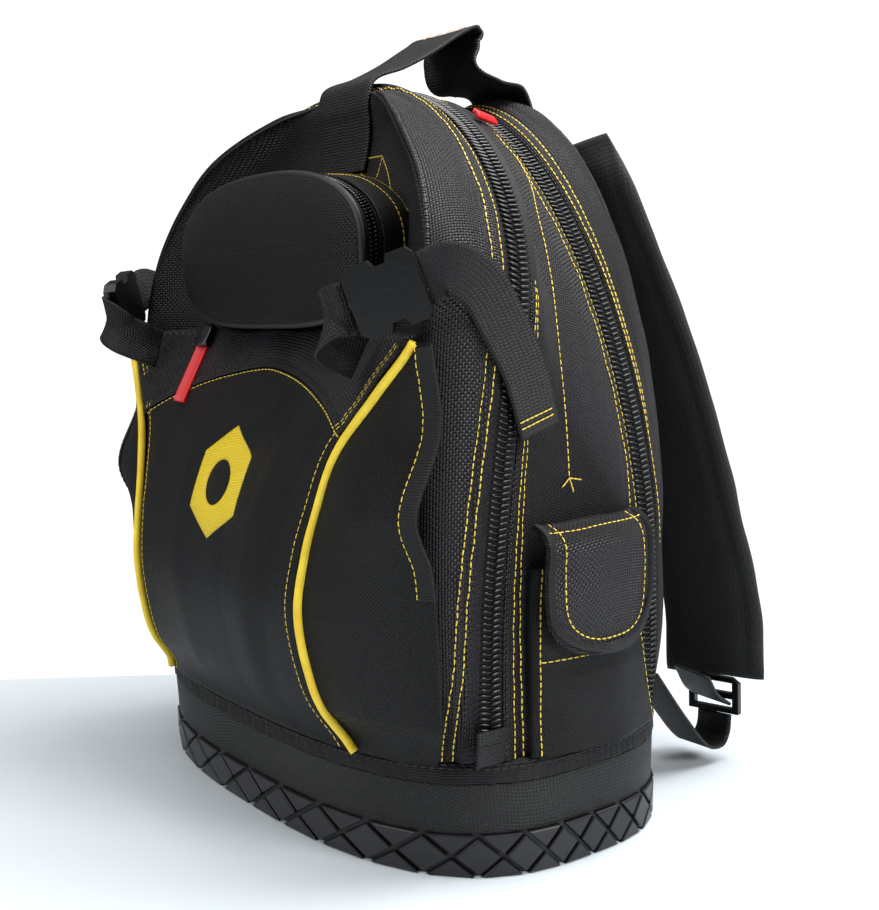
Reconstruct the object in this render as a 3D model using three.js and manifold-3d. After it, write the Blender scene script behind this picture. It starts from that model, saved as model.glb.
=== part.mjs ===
// Tool backpack: moulded rubber base tray with a raised tread, and a soft woven body
// of three shells joined by two arched coil zippers. It carries a bulged front pocket
// between two pipings, a small moulded case, side pouches with bound flaps, a webbing
// handle, two padded shoulder straps and compression straps with side-release buckles.
// Millimetres, +Z up, front towards -Y, origin under the middle of the tray.
import * as THREE from 'three';
import { mergeVertices } from 'three/addons/utils/BufferGeometryUtils.js';
import Module from 'manifold-3d';

// Driving dimensions
const baseWidth = 350;
const baseDepth = 191;
const frontBulge = 5.6;
const cornerPower = 2.84;
const treadHeight = 22;
const treadDepth = 2.2;
const treadCount = 32;
const treadGroove = 2.6;
const trayHeight = 48;
const trayWall = 4;
const trayFlare = 0.014;
const bindingHeight = 10;
const bindingWall = 4.5;
const bodyTop = 398;
const tuckHeight = 52;
const clothWall = 2;
const gap = 0.3;
const seamGap = 0.95;
const zipWidth = 20;
const coilWidth = 10;
const coilHeight = 2.6;
const tapeWall = 1.2;
const tabWidth = 24;
const tabHeight = 16;
const pipingRadius = 2.4;
const ribbonWall = 1.8;
const handleWidth = 50;
const handleHeight = 440;
const strapWidth = 64;
const strapWall = 12;
const webWidth = 25;
const motifWidth = 60;
const motifWall = 1.6;
const caseWidth = 200;
const caseHeight = 82;
const caseBottom = 269;
const caseDepth = 44;
const caseZip = 9;
const pouchTop = 150;
const pouchBulge = 13;
const flapTop = 170;
const flapBottom = 104;
const flapShare = 0.98;
const flapClear = 1.5;
const pouchFront = 0.2;
const pouchRear = 0.99;
const buckleWidth = 34;
const buckleWall = 8;
const buckleClear = 1.2;
const motifHeight = 186;

// Places that follow from the driving dimensions
const halfWidth = baseWidth / 2;
const halfDepth = baseDepth / 2;
const rimHeight = trayHeight + gap + bindingHeight;
const footHeight = rimHeight + gap;
const middle = new THREE.Vector3(0, 0, bodyTop / 2);

// Arch stations. side and crest are shares of half the base width and of the body top,
// shoulder is where the side starts to round, power is how square the round stretch is.
// lean rows give the arch's place from front to back: rise is a share of the body top,
// back a share of the base depth.
const arches = {
  frontEdge: {
    side: 0.874, shoulder: 0.69, crest: 1, power: 2,
    lean: [
      { rise: 0.15, back: -0.471 }, { rise: 0.39, back: -0.461 }, { rise: 0.66, back: -0.419 },
      { rise: 0.78, back: -0.377 }, { rise: 0.867, back: -0.325 }, { rise: 0.93, back: -0.272 },
      { rise: 0.98, back: -0.168 }, { rise: 1, back: -0.084 },
    ],
  },
  frontCorner: {
    side: 0.92, shoulder: 0.68, crest: 1.004, power: 1.95,
    lean: [
      { rise: 0.15, back: -0.43 }, { rise: 0.39, back: -0.42 }, { rise: 0.66, back: -0.372 },
      { rise: 0.78, back: -0.325 }, { rise: 0.867, back: -0.268 }, { rise: 0.93, back: -0.215 },
      { rise: 0.98, back: -0.13 }, { rise: 1, back: -0.064 },
    ],
  },
  zipOne: {
    side: 0.94, shoulder: 0.666, crest: 1, power: 1.92,
    lean: [
      { rise: 0.15, back: -0.298 }, { rise: 0.327, back: -0.278 }, { rise: 0.467, back: -0.241 },
      { rise: 0.56, back: -0.209 }, { rise: 0.69, back: -0.16 }, { rise: 0.874, back: -0.079 },
      { rise: 1, back: -0.01 },
    ],
  },
  waist: {
    side: 0.915, shoulder: 0.54, crest: 0.996, power: 1.88,
    lean: [
      { rise: 0.15, back: 0.03 }, { rise: 0.462, back: 0.04 }, { rise: 0.64, back: 0.02 },
      { rise: 0.82, back: 0.03 }, { rise: 1, back: 0.14 },
    ],
  },
  zipTwo: {
    side: 0.895, shoulder: 0.377, crest: 0.985, power: 1.75,
    lean: [{ rise: 0.15, back: 0.314 }, { rise: 1, back: 0.3 }],
  },
  rearCorner: {
    side: 0.835, shoulder: 0.45, crest: 1.003, power: 1.9,
    lean: [{ rise: 0.15, back: 0.43 }, { rise: 1, back: 0.42 }],
  },
  rearEdge: {
    side: 0.75, shoulder: 0.5, crest: 1.005, power: 2,
    lean: [{ rise: 0.15, back: 0.468 }, { rise: 1, back: 0.474 }],
  },
};

// The front face sinks in at its middle, most behind the small case
const faceDent = [
  { rise: 0.15, depth: 0 }, { rise: 0.5, depth: 0 }, { rise: 0.6, depth: 0.09 }, { rise: 0.7, depth: 0.17 },
  { rise: 0.78, depth: 0.165 }, { rise: 0.867, depth: 0.18 }, { rise: 0.93, depth: 0.16 },
  { rise: 0.967, depth: 0.09 }, { rise: 1, depth: 0 },
];

// Shares of the side's height at which the shells have a vertex, close at the foot
const sideSteps = [0, 0.09, 0.18, 0.31, 0.47, 0.65, 0.83];
const arcSteps = 7;
const dentPower = 3.5;
const faceRings = [0.93, 0.81, 0.6, 0.3, 0];
const rearRings = [0.8, 0.4, 0];
const rearCrown = 3;

// Front pocket. rise is a share of the body top, ridge the piping's place as a share of
// half the base width, front and centre the piping's and the middle's reach as shares
// of the base depth.
const pocketRows = [
  { rise: 0.147, ridge: 0.589, front: -0.505, centre: -0.53 },
  { rise: 0.188, ridge: 0.56, front: -0.56, centre: -0.576 },
  { rise: 0.239, ridge: 0.543, front: -0.602, centre: -0.613 },
  { rise: 0.327, ridge: 0.531, front: -0.628, centre: -0.644 },
  { rise: 0.402, ridge: 0.549, front: -0.607, centre: -0.623 },
  { rise: 0.452, ridge: 0.571, front: -0.581, centre: -0.592 },
  { rise: 0.528, ridge: 0.63, front: -0.545, centre: -0.518 },
  { rise: 0.603, ridge: 0.771, front: -0.497, centre: -0.42 },
  { rise: 0.66, ridge: 0.886, front: -0.462, centre: -0.33 },
  { rise: 0.7, ridge: 0.9, front: -0.45, centre: -0.28 },
];
const pocketTop = 262;
const pocketReach = 1.035;
const pocketTuck = 24;
const pocketCrown = 4;
const yokeLow = 218;
const yokeHigh = 248;
const yokeRound = 1.5;
const pocketColumns = [-1, -0.75, -0.5, -0.25, 0, 0.25, 0.5, 0.75, 1];

// Rear edge of the front pocket's side gussets, where the slip pockets open
const gussetEdge = [
  { rise: 0.147, side: 0.951, back: -0.45 },
  { rise: 0.39, side: 0.951, back: -0.461 },
  { rise: 0.46, side: 0.954, back: -0.505 },
  { rise: 0.558, side: 0.954, back: -0.424 },
  { rise: 0.66, side: 0.951, back: -0.44 },
];

// Webbing and strap routes through a few chosen points, as shares: x of half the base
// width, y of the base depth, z of the body top
const strapRoute = [
  { x: 0.34, y: 0.541, z: 0.925 }, { x: 0.37, y: 0.556, z: 0.86 }, { x: 0.44, y: 0.65, z: 0.71 },
  { x: 0.53, y: 0.73, z: 0.54 }, { x: 0.6, y: 0.79, z: 0.36 }, { x: 0.65, y: 0.822, z: 0.23 },
  { x: 0.665, y: 0.815, z: 0.125 },
];

const wasm = await Module();
wasm.setup();

const bag = new THREE.Group();

const finishes = {
  rubber: { color: 0x2b2b2e, roughness: 0.55, metalness: 0 },
  weave: { color: 0x17161a, roughness: 0.75, metalness: 0 },
  webbing: { color: 0x141316, roughness: 0.6, metalness: 0 },
  coil: { color: 0x0c0c0e, roughness: 0.25, metalness: 0 },
  moulded: { color: 0x18181a, roughness: 0.6, metalness: 0 },
  buckle: { color: 0x0e0e10, roughness: 0.35, metalness: 0 },
  mesh: { color: 0x111114, roughness: 0.9, metalness: 0 },
  yellow: { color: 0xf4cf1c, roughness: 0.6, metalness: 0 },
};

function addPiece(name, geometry, finish) {
  const mesh = new THREE.Mesh(geometry, new THREE.MeshStandardMaterial(finishes[finish]));
  mesh.name = name;
  bag.add(mesh);
  return mesh;
}

// Value of one column of a table at a given rise, straight between its rows
function follow(rows, column, rise) {
  const last = rows.length - 1;
  if (rise <= rows[0].rise) return rows[0][column];
  if (rise >= rows[last].rise) return rows[last][column];
  const next = rows.findIndex((row) => row.rise > rise);
  const from = rows[next - 1];
  const share = (rise - from.rise) / (rows[next].rise - from.rise);
  return from[column] + share * (rows[next][column] - from[column]);
}

// Closed geometry from triangles: shared corners merged, slivers dropped, faces out
function closedGeometry(points) {
  const loose = new THREE.BufferGeometry();
  loose.setAttribute('position', new THREE.Float32BufferAttribute(points.flatMap((p) => [p.x, p.y, p.z]), 3));
  const merged = mergeVertices(loose, 1e-3);
  const corners = merged.getIndex().array;
  const position = merged.getAttribute('position');
  const kept = [];
  for (let i = 0; i < corners.length; i += 3) {
    const [a, b, c] = corners.slice(i, i + 3);
    if (a !== b && b !== c && c !== a) kept.push(a, b, c);
  }
  const at = (i) => new THREE.Vector3().fromBufferAttribute(position, i);
  let volume = 0;
  for (let i = 0; i < kept.length; i += 3) {
    volume += at(kept[i]).dot(at(kept[i + 1]).cross(at(kept[i + 2])));
  }
  merged.setIndex(volume < 0 ? kept.reverse() : kept);
  merged.computeVertexNormals();
  return merged;
}

function quad(a, b, c, d) {
  return [a, b, c, a, c, d];
}

// Solid between two grids of points with the same rows and columns. A round grid
// closes on itself along its rows.
function slab(outer, inner, round = false) {
  const rows = outer.length - 1;
  const columns = outer[0].length - (round ? 0 : 1);
  const size = outer[0].length;
  const triangles = [];
  for (let i = 0; i < rows; i += 1) {
    for (let j = 0; j < columns; j += 1) {
      const k = (j + 1) % size;
      triangles.push(...quad(outer[i][j], outer[i][k], outer[i + 1][k], outer[i + 1][j]));
      triangles.push(...quad(inner[i][j], inner[i + 1][j], inner[i + 1][k], inner[i][k]));
    }
  }
  for (let j = 0; j < columns; j += 1) {
    const k = (j + 1) % size;
    triangles.push(...quad(outer[0][k], outer[0][j], inner[0][j], inner[0][k]));
    triangles.push(...quad(outer[rows][j], outer[rows][k], inner[rows][k], inner[rows][j]));
  }
  if (!round) {
    for (let i = 0; i < rows; i += 1) {
      triangles.push(...quad(outer[i][0], outer[i + 1][0], inner[i + 1][0], inner[i][0]));
      triangles.push(...quad(outer[i + 1][columns], outer[i][columns], inner[i][columns], inner[i + 1][columns]));
    }
  }
  return closedGeometry(triangles);
}

// Outward direction at each point of a grid, the same wherever points coincide
function outwards(grid, inside, round = false) {
  const key = (p) => [p.x, p.y, p.z].map((value) => value.toFixed(2)).join();
  const sums = new Map();
  let sense = 0;
  for (let i = 0; i + 1 < grid.length; i += 1) {
    for (let j = 0; j < grid[0].length - (round ? 0 : 1); j += 1) {
      const k = (j + 1) % grid[0].length;
      const corners = [grid[i][j], grid[i][k], grid[i + 1][k], grid[i + 1][j]];
      const face = corners[2].clone().sub(corners[0]).cross(corners[3].clone().sub(corners[1]));
      sense += face.dot(corners[0].clone().sub(inside));
      for (const corner of corners) {
        const name = key(corner);
        sums.set(name, (sums.get(name) ?? new THREE.Vector3()).add(face));
      }
    }
  }
  return grid.map((row) => row.map((p) => sums.get(key(p)).clone().normalize().multiplyScalar(Math.sign(sense))));
}

function offset(grid, directions, distance) {
  return grid.map((row, i) => row.map((p, j) => p.clone().addScaledVector(directions[i][j], distance)));
}

// Cloth wall whose outer side is the grid. Its hem stays level where it stands on the rim.
// Its first and last rows can take the directions of the strip that they meet.
function cloth(grid, { first, last, wall = clothWall, inside = middle } = {}) {
  const directions = outwards(grid, inside);
  if (first) directions[0] = first.map((d) => d.clone());
  if (last) directions[grid.length - 1] = last.map((d) => d.clone());
  grid.forEach((row, i) => row.forEach((p, j) => {
    if (p.z < footHeight + gap) directions[i][j].setZ(0).normalize();
  }));
  return slab(grid, offset(grid, directions, -wall));
}

// Band of a four-sided section along a smooth route; across is the width's direction
function ribbon(points, across, width, wall, steps) {
  const route = new THREE.CatmullRomCurve3(points, false, 'centripetal');
  const top = [];
  const under = [];
  for (let i = 0; i <= steps; i += 1) {
    const share = i / steps;
    const along = route.getTangent(share);
    const wide = (typeof across === 'function' ? across(share) : across).clone();
    wide.addScaledVector(along, -wide.dot(along)).normalize();
    const face = wide.clone().cross(along).normalize();
    const at = route.getPoint(share);
    const edge = (side, lift) => at.clone().addScaledVector(wide, side * width / 2).addScaledVector(face, lift);
    top.push([edge(-1, wall / 2), edge(1, wall / 2)]);
    under.push([edge(-1, -wall / 2), edge(1, -wall / 2)]);
  }
  return slab(top, under);
}

function asSolid(geometry) {
  const welded = geometry.clone();
  for (const name of Object.keys(welded.attributes)) {
    if (name !== 'position') welded.deleteAttribute(name);
  }
  const merged = mergeVertices(welded, 1e-3);
  return new wasm.Manifold(new wasm.Mesh({
    numProp: 3,
    vertProperties: new Float32Array(merged.getAttribute('position').array),
    triVerts: new Uint32Array(merged.getIndex().array),
  }));
}

function asGeometry(solid) {
  const mesh = solid.getMesh();
  const geometry = new THREE.BufferGeometry();
  geometry.setAttribute('position', new THREE.Float32BufferAttribute(mesh.vertProperties, 3));
  geometry.setIndex([...mesh.triVerts]);
  geometry.computeVertexNormals();
  return geometry;
}

// Base outline: a rounded rectangle with a slightly bulged front
function outlineDepth(y) {
  return y < 0 ? halfDepth + frontBulge : halfDepth;
}

function outlineShare(x, y) {
  const wide = (Math.abs(x) / halfWidth) ** cornerPower;
  const deep = (Math.abs(y) / outlineDepth(y)) ** cornerPower;
  return (wide + deep) ** (1 / cornerPower);
}

function outlinePoint(angle, z, inset = 0) {
  const scale = 1 - trayFlare * Math.max(0, 1 - z / trayHeight);
  const x = Math.cos(angle);
  const y = Math.sin(angle);
  const share = outlineShare(x * halfWidth, y * outlineDepth(y));
  const point = new THREE.Vector3(x * halfWidth, y * outlineDepth(y), 0).multiplyScalar(scale / share);
  const length = point.length();
  return point.multiplyScalar((length - inset) / length).setZ(z);
}

function ring(z, inset, segments = 2 * treadCount) {
  return Array.from({ length: segments }, (_, j) => outlinePoint((j / segments) * 2 * Math.PI, z, inset));
}

// Draws a point in to the tray's outline as it comes down to the rim
function tuck(point, reach = 1, height = tuckHeight) {
  const share = (point.z - rimHeight) / height;
  if (share >= 1) return point;
  const pull = (1 - Math.max(0, share)) ** 1.5;
  const scale = 1 + pull * (reach / outlineShare(point.x, point.y) - 1);
  return new THREE.Vector3(point.x * scale, point.y * scale, point.z);
}

function archHalf(arch, z) {
  const shoulder = arch.shoulder * bodyTop;
  const crest = arch.crest * bodyTop;
  if (z <= shoulder) return arch.side * halfWidth;
  const rise = Math.min(1, (z - shoulder) / (crest - shoulder));
  return arch.side * halfWidth * (1 - rise ** arch.power) ** (1 / arch.power);
}

function archBack(arch, z, shift) {
  return follow(arch.lean, 'back', z / bodyTop) * baseDepth + shift;
}

// Arch from its right foot over the crest to its left foot, shift forwards or back
function archCurve(arch, shift = 0) {
  const shoulder = arch.shoulder * bodyTop;
  const crest = arch.crest * bodyTop;
  const side = arch.side * halfWidth;
  const half = sideSteps.map((share) => ({ x: side, z: footHeight + share * (shoulder - footHeight) }));
  for (let k = 0; k <= arcSteps; k += 1) {
    const angle = (k / arcSteps) * (Math.PI / 2);
    const power = 2 / arch.power;
    half.push({
      x: side * Math.max(0, Math.cos(angle)) ** power,
      z: shoulder + (crest - shoulder) * Math.sin(angle) ** power,
    });
  }
  half[half.length - 1].x = 0;
  const right = half.map(({ x, z }) => tuck(new THREE.Vector3(x, archBack(arch, z, shift), z)));
  const left = right.slice(0, -1).reverse().map((p) => new THREE.Vector3(-p.x, p.y, p.z));
  return [...right, ...left];
}

function faceBack(x, z) {
  const half = Math.max(1, archHalf(arches.frontEdge, z));
  const inward = 1 - Math.min(1, Math.abs(x) / half) ** dentPower;
  const edge = archBack(arches.frontEdge, z, 0);
  return edge + inward * follow(faceDent, 'depth', z / bodyTop) * baseDepth;
}

function rearBack(x, z) {
  return archBack(arches.rearEdge, z, 0) + rearCrown * (1 - (x / halfWidth) ** 2);
}

// Outer side of the front shell as it is faceted, straight behind a point of the front
function shellBack(x, z) {
  const ray = new THREE.Raycaster(new THREE.Vector3(x, -baseWidth, z), new THREE.Vector3(0, 1, 0));
  const [hit] = ray.intersectObject(frontShell, false);
  return hit ? hit.point.y : faceBack(x, z);
}

// Rings that shrink an arch towards the middle of its foot, placed in depth by back(x, z)
function faceRingsOf(arch, rings, back) {
  const edge = archCurve(arch);
  return rings.map((share) => edge.map((p) => {
    const x = p.x * share;
    const z = footHeight + (p.z - footHeight) * share;
    return tuck(new THREE.Vector3(x, back(x, z), z));
  })).reverse();
}

function blendCurves(from, to, share, swell = 0) {
  return from.map((p, j) => {
    const mixed = p.clone().lerp(to[j], share);
    const outward = new THREE.Vector3(mixed.x, 0, Math.max(0, mixed.z - bodyTop / 2)).normalize();
    const free = Math.min(1, Math.max(0, (p.z - footHeight) / tuckHeight));
    return mixed.addScaledVector(outward, swell * free);
  });
}

// Base tray with raised diamonds between rows of triangles
function treadBlock(corners, centre) {
  const at = ([turn, z], lift) => outlinePoint((turn / treadCount) * 2 * Math.PI, z, -lift);
  const rim = corners.map((corner) => at(corner, treadDepth));
  const root = corners.map(([turn, z]) => at([turn + 0.06 * (turn - centre[0]), z], -trayWall / 4));
  const top = at(centre, treadDepth * 1.1);
  const bottom = at(centre, -trayWall / 3);
  const triangles = [];
  corners.forEach((_, i) => {
    const k = (i + 1) % corners.length;
    triangles.push(rim[i], rim[k], top);
    triangles.push(...quad(root[i], root[k], rim[k], rim[i]));
    triangles.push(root[k], root[i], bottom);
  });
  return closedGeometry(triangles);
}

function baseTray() {
  const outer = [ring(0, 1), ring(1.5, 0), ring(trayHeight, 0)];
  const inner = [ring(trayWall, trayWall * 2), ring(2 * trayWall, trayWall), ring(trayHeight, trayWall)];
  const floor = (z) => outer[0].map(() => new THREE.Vector3(0, 0, z));
  let tray = asSolid(slab([floor(0), ...outer], [floor(trayWall), ...inner], true));
  const slack = treadGroove / (baseWidth * Math.PI / treadCount);
  const low = gap;
  const high = treadHeight;
  const half = (low + high) / 2;
  const rise = treadGroove * 0.7;
  for (let turn = 0; turn < treadCount; turn += 1) {
    const diamond = [[turn - 0.5 + slack, half], [turn, low + rise], [turn + 0.5 - slack, half], [turn, high - rise]];
    tray = tray.add(asSolid(treadBlock(diamond, [turn, half])));
    const side = turn + 0.5;
    const upper = [[side - 0.5 + slack, high], [side, half + rise], [side + 0.5 - slack, high]];
    tray = tray.add(asSolid(treadBlock(upper, [side, high - rise])));
    const lower = [[side - 0.5 + slack, low], [side + 0.5 - slack, low], [side, half - rise]];
    tray = tray.add(asSolid(treadBlock(lower, [side, low + rise])));
  }
  return asGeometry(tray);
}

function baseBinding() {
  const low = trayHeight + gap;
  const lip = 1.5;
  const profile = [[low, -lip / 2], [rimHeight, -lip / 2]];
  const outer = profile.map(([z, inset]) => ring(z, inset));
  const inner = profile.map(([z]) => ring(z, bindingWall));
  return slab(outer, inner, true);
}

function seamDirections(arch) {
  return outwards([archCurve(arch, -zipWidth / 2), archCurve(arch, zipWidth / 2)], middle)[0];
}

// Coil zipper laid between the two cloth edges of its arch
function zipperStrip(arch) {
  const front = archCurve(arch, -zipWidth / 2);
  const back = archCurve(arch, zipWidth / 2);
  const lift = seamDirections(arch);
  const half = zipWidth / 2 - seamGap;
  const section = [[-half, 0], [-coilWidth / 2, 0], [0, 1], [coilWidth / 2, 0], [half, 0]];
  const strip = (height) => section.map(([across, raised]) => front.map((p, j) => {
    const covered = p.z < footHeight + 1.4 * tabHeight ? 0.1 : 1;
    const share = 0.5 + across / zipWidth;
    return p.clone().lerp(back[j], share).addScaledVector(lift[j], height(raised, covered));
  }));
  return slab(strip((raised, share) => raised * share * coilHeight), strip((raised) => -tapeWall - 0.1 * raised));
}

// Webbing sewn across the lower end of a zipper, slightly crowned over its coil
function endTab(arch, side) {
  const bounds = [footHeight + gap, footHeight + gap + tabHeight];
  const grid = bounds.map((z) => [-0.5, 0, 0.5].map((across) => {
    const p = curveAt(archCurve(arch, across * tabWidth), z);
    return new THREE.Vector3(side * p.x, p.y, p.z);
  }));
  const lift = outwards(grid, middle);
  const raise = (extra) => grid.map((row, i) => row.map((p, j) => {
    const crown = j === 1 ? gap : 0;
    return p.clone().addScaledVector(lift[i][j], seamGap + crown + extra);
  }));
  return slab(raise(ribbonWall), raise(0));
}

// Point of the front pocket's outer side: across is -1 at the left piping, 1 at the right
function pocketPoint(across, z) {
  const rise = z / bodyTop;
  const ridge = follow(pocketRows, 'ridge', rise) * halfWidth;
  const front = follow(pocketRows, 'front', rise) * baseDepth;
  const centre = follow(pocketRows, 'centre', rise) * baseDepth;
  const x = across * ridge;
  const y = front + (centre - front) * (1 - across ** 2);
  const clear = Math.min(y, shellBack(x, z) - clothWall - seamGap);
  return tuck(new THREE.Vector3(x, clear, z), pocketReach, pocketTuck);
}

function yokeSeam(across) {
  return yokeHigh - (yokeHigh - yokeLow) * Math.abs(across) ** yokeRound;
}

function pocketGrid(low, high, steps) {
  const reach = 1 - (pipingRadius + seamGap + gap) / (0.55 * halfWidth);
  return Array.from({ length: steps + 1 }, (_, i) => pocketColumns.map((across) => {
    const z = low(across) + (i / steps) * (high(across) - low(across));
    return pocketPoint(across * reach, z);
  }));
}

function pocketYoke() {
  const high = (across) => pocketTop + pocketCrown * (1 - across ** 2);
  const grid = pocketGrid((across) => yokeSeam(across) + 2 * gap, high, 4);
  const hem = pocketColumns.map((across) => {
    const p = pocketPoint(across * 0.97, high(across) + 1.5);
    return p.setY(shellBack(p.x, p.z) - clothWall - seamGap);
  });
  return cloth([...grid, hem]);
}

const pocketLevels = [0, 0.1, 0.2, 0.35, 0.5, 0.62, 0.75, 0.88, 1];

function ridgePoint(side, share) {
  const z = footHeight + share * (pocketTop - footHeight);
  return pocketPoint(side, z);
}

function pocketGusset(side) {
  const grid = pocketLevels.map((share) => {
    const ridge = ridgePoint(side, share);
    const rise = ridge.z / bodyTop;
    const edgeX = side * follow(gussetEdge, 'side', rise) * halfWidth;
    const edge = new THREE.Vector3(edgeX, follow(gussetEdge, 'back', rise) * baseDepth, ridge.z);
    return [0, 0.33, 0.67, 1].map((across) => {
      const start = (pipingRadius + seamGap) / ridge.distanceTo(edge);
      const p = ridge.clone().lerp(edge, start + across * (1 - start));
      return tuck(p, pocketReach, pocketTuck);
    });
  });
  return cloth(grid);
}

function piping(side) {
  const points = pocketLevels.map((share) => {
    const ridge = ridgePoint(side, share);
    return ridge.setY(ridge.y - pipingRadius * 0.2);
  });
  const route = new THREE.CatmullRomCurve3(points);
  const corners = 5;
  const round = Array.from({ length: corners }, (_, k) => {
    const angle = (k / corners) * 2 * Math.PI;
    return new THREE.Vector2(Math.cos(angle) * pipingRadius, Math.sin(angle) * pipingRadius);
  });
  return new THREE.ExtrudeGeometry(new THREE.Shape(round), { steps: 18, extrudePath: route, bevelEnabled: false });
}

// Ribbed tape bound over the rear edge of a pocket gusset
function slipBinding(side) {
  const grid = pocketLevels.slice(4).map((level) => {
    const share = Math.min(level, 0.99);
    const z = footHeight + share * (pocketTop - footHeight);
    const rise = z / bodyTop;
    const edge = new THREE.Vector3(
      side * follow(gussetEdge, 'side', rise) * halfWidth,
      follow(gussetEdge, 'back', rise) * baseDepth,
      z,
    );
    const ridge = pocketPoint(side, z);
    const inward = ridge.clone().sub(edge).setLength(bindingHeight);
    return [edge.clone().add(inward), edge];
  });
  const lift = outwards(grid, middle);
  return slab(offset(grid, lift, seamGap + ribbonWall), offset(grid, lift, seamGap));
}

function curveAt(curve, z) {
  const next = Math.max(1, curve.findIndex((p) => p.z >= z));
  const from = curve[next - 1];
  return from.clone().lerp(curve[next], (z - from.z) / (curve[next].z - from.z));
}

// Point on the side of the middle shell: across is 0 at the first zipper, 1 at the second
function sidePoint(curves, side, across, z) {
  const place = across * (curves.length - 1);
  const from = Math.min(curves.length - 2, Math.floor(place));
  const p = curveAt(curves[from], z).lerp(curveAt(curves[from + 1], z), place - from);
  return new THREE.Vector3(side * p.x, p.y, p.z);
}

function pouchSwell(across, z) {
  const share = Math.min(1, Math.max(0, (across - pouchFront) / (pouchRear - pouchFront)));
  const rise = Math.min(1, (z - footHeight) / (0.4 * (pouchTop - footHeight)));
  return pouchBulge * Math.sin(Math.PI * share) ** 0.6 * (0.35 + 0.65 * rise);
}

function sidePouch(curves, side) {
  const levels = [0, 0.2, 0.4, 0.7, 1];
  const columns = [0, 0.08, 0.25, 0.5, 0.75, 0.92, 1];
  const bounds = { low: footHeight + gap, high: pouchTop };
  const at = levels.map((level) => columns.map((column) => ({
    across: pouchFront + column * (pouchRear - pouchFront),
    z: bounds.low + level * (bounds.high - bounds.low),
  })));
  const base = at.map((row) => row.map(({ across, z }) => sidePoint(curves, side, across, z)));
  const lift = outwards(base, middle).map((row) => row.map((d) => d.setZ(0).normalize()));
  const raise = (extra) => base.map((row, i) => row.map((p, j) => {
    const { across, z } = at[i][j];
    return p.clone().addScaledVector(lift[i][j], seamGap + 2 * gap + extra + pouchSwell(across, z));
  }));
  return slab(raise(clothWall), raise(0));
}

// Flap that leaves the shell above the pouch and hangs over it, round at the bottom
const flapRows = [
  { drop: 0, lift: 0 }, { drop: 0.05, lift: 0.55 }, { drop: 0.16, lift: 1 }, { drop: 0.45, lift: 1 },
  { drop: 0.7, lift: 1 }, { drop: 0.87, lift: 1 }, { drop: 0.96, lift: 1 }, { drop: 1, lift: 1 },
];

function sideFlap(curves, side) {
  const columns = [-1, -0.8, -0.4, 0, 0.4, 0.8, 1];
  const centre = (pouchFront + pouchRear) / 2;
  const half = (pouchRear - pouchFront) * flapShare / 2;
  const straight = 0.45;
  const at = flapRows.map(({ drop }) => columns.map((column) => {
    const round = Math.max(0, (drop - straight) / (1 - straight));
    const narrow = Math.max(0.3, (1 - round ** 2.6) ** (1 / 2.6));
    return { across: centre + column * half * narrow, z: flapTop - drop * (flapTop - flapBottom) };
  }));
  const base = at.map((row) => row.map(({ across, z }) => sidePoint(curves, side, across, z)));
  const lift = outwards(base, middle).map((row) => row.map((d) => d.setZ(0).normalize()));
  const raise = (extra) => base.map((row, i) => row.map((p, j) => {
    const over = pouchSwell(0.5 * (pouchFront + pouchRear), pouchTop) + clothWall + flapClear;
    const edge = pouchSwell(at[i][j].across, pouchTop) + clothWall + flapClear;
    const stand = flapRows[i].lift * (0.35 * over + 0.65 * Math.max(edge, 0.5 * over));
    return p.clone().addScaledVector(lift[i][j], seamGap + extra + stand);
  }));
  return slab(raise(clothWall), raise(0));
}

// Small case: outline with a round top and tighter bottom corners
const caseSegments = 24;
const caseMiddle = caseBottom + caseHeight / 2;

function caseRing(y, inset) {
  return Array.from({ length: caseSegments }, (_, j) => {
    const angle = ((j + 0.5) / caseSegments) * 2 * Math.PI;
    const power = Math.sin(angle) > 0 ? 2.4 : 3.4;
    const x = Math.sign(Math.cos(angle)) * Math.abs(Math.cos(angle)) ** (2 / power);
    const z = Math.sign(Math.sin(angle)) * Math.abs(Math.sin(angle)) ** (2 / power);
    const wide = caseWidth / 2 - inset;
    const tall = caseHeight / 2 - inset;
    const place = new THREE.Vector3(x * wide, 0, caseMiddle + z * tall);
    return place.setY(typeof y === 'function' ? y(place.x, place.z) : y);
  });
}

function casePoint(y) {
  return caseRing(y, 0).map(() => new THREE.Vector3(0, y, caseMiddle));
}

function caseBack() {
  const seat = (x, z) => Math.min(caseRear, shellBack(x, z) - seamGap);
  const inner = (x, z) => seat(x, z) - clothWall;
  const outside = [casePoint(caseRear), caseRing(seat, 0.4 * caseHeight), caseRing(seat, 3)];
  outside.push(caseRing((x, z) => seat(x, z) - 4, 0), caseRing(caseRim, 0));
  const inside = [casePoint(caseRear - clothWall), caseRing(inner, 0.4 * caseHeight), caseRing(inner, 4)];
  inside.push(caseRing((x, z) => inner(x, z) - 3, clothWall), caseRing(caseRim, clothWall));
  return slab(outside, inside, true);
}

function caseZipper() {
  const start = caseRim - gap;
  const end = start - caseZip;
  const centre = (start + end) / 2;
  const outside = [caseRing(start, 1), caseRing(centre, -1), caseRing(end, 1)];
  const inside = [start, centre, end].map((y) => caseRing(y, 1 + tapeWall));
  return slab(outside, inside, true);
}

// Lid profile: drop is the share of the lid's depth, inset the share of half its height
const lidProfile = [
  { drop: 0, inset: 0 }, { drop: 0.2, inset: -0.02 }, { drop: 0.38, inset: 0.06 }, { drop: 0.72, inset: 0.24 },
  { drop: 0.93, inset: 0.5 },
];

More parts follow.
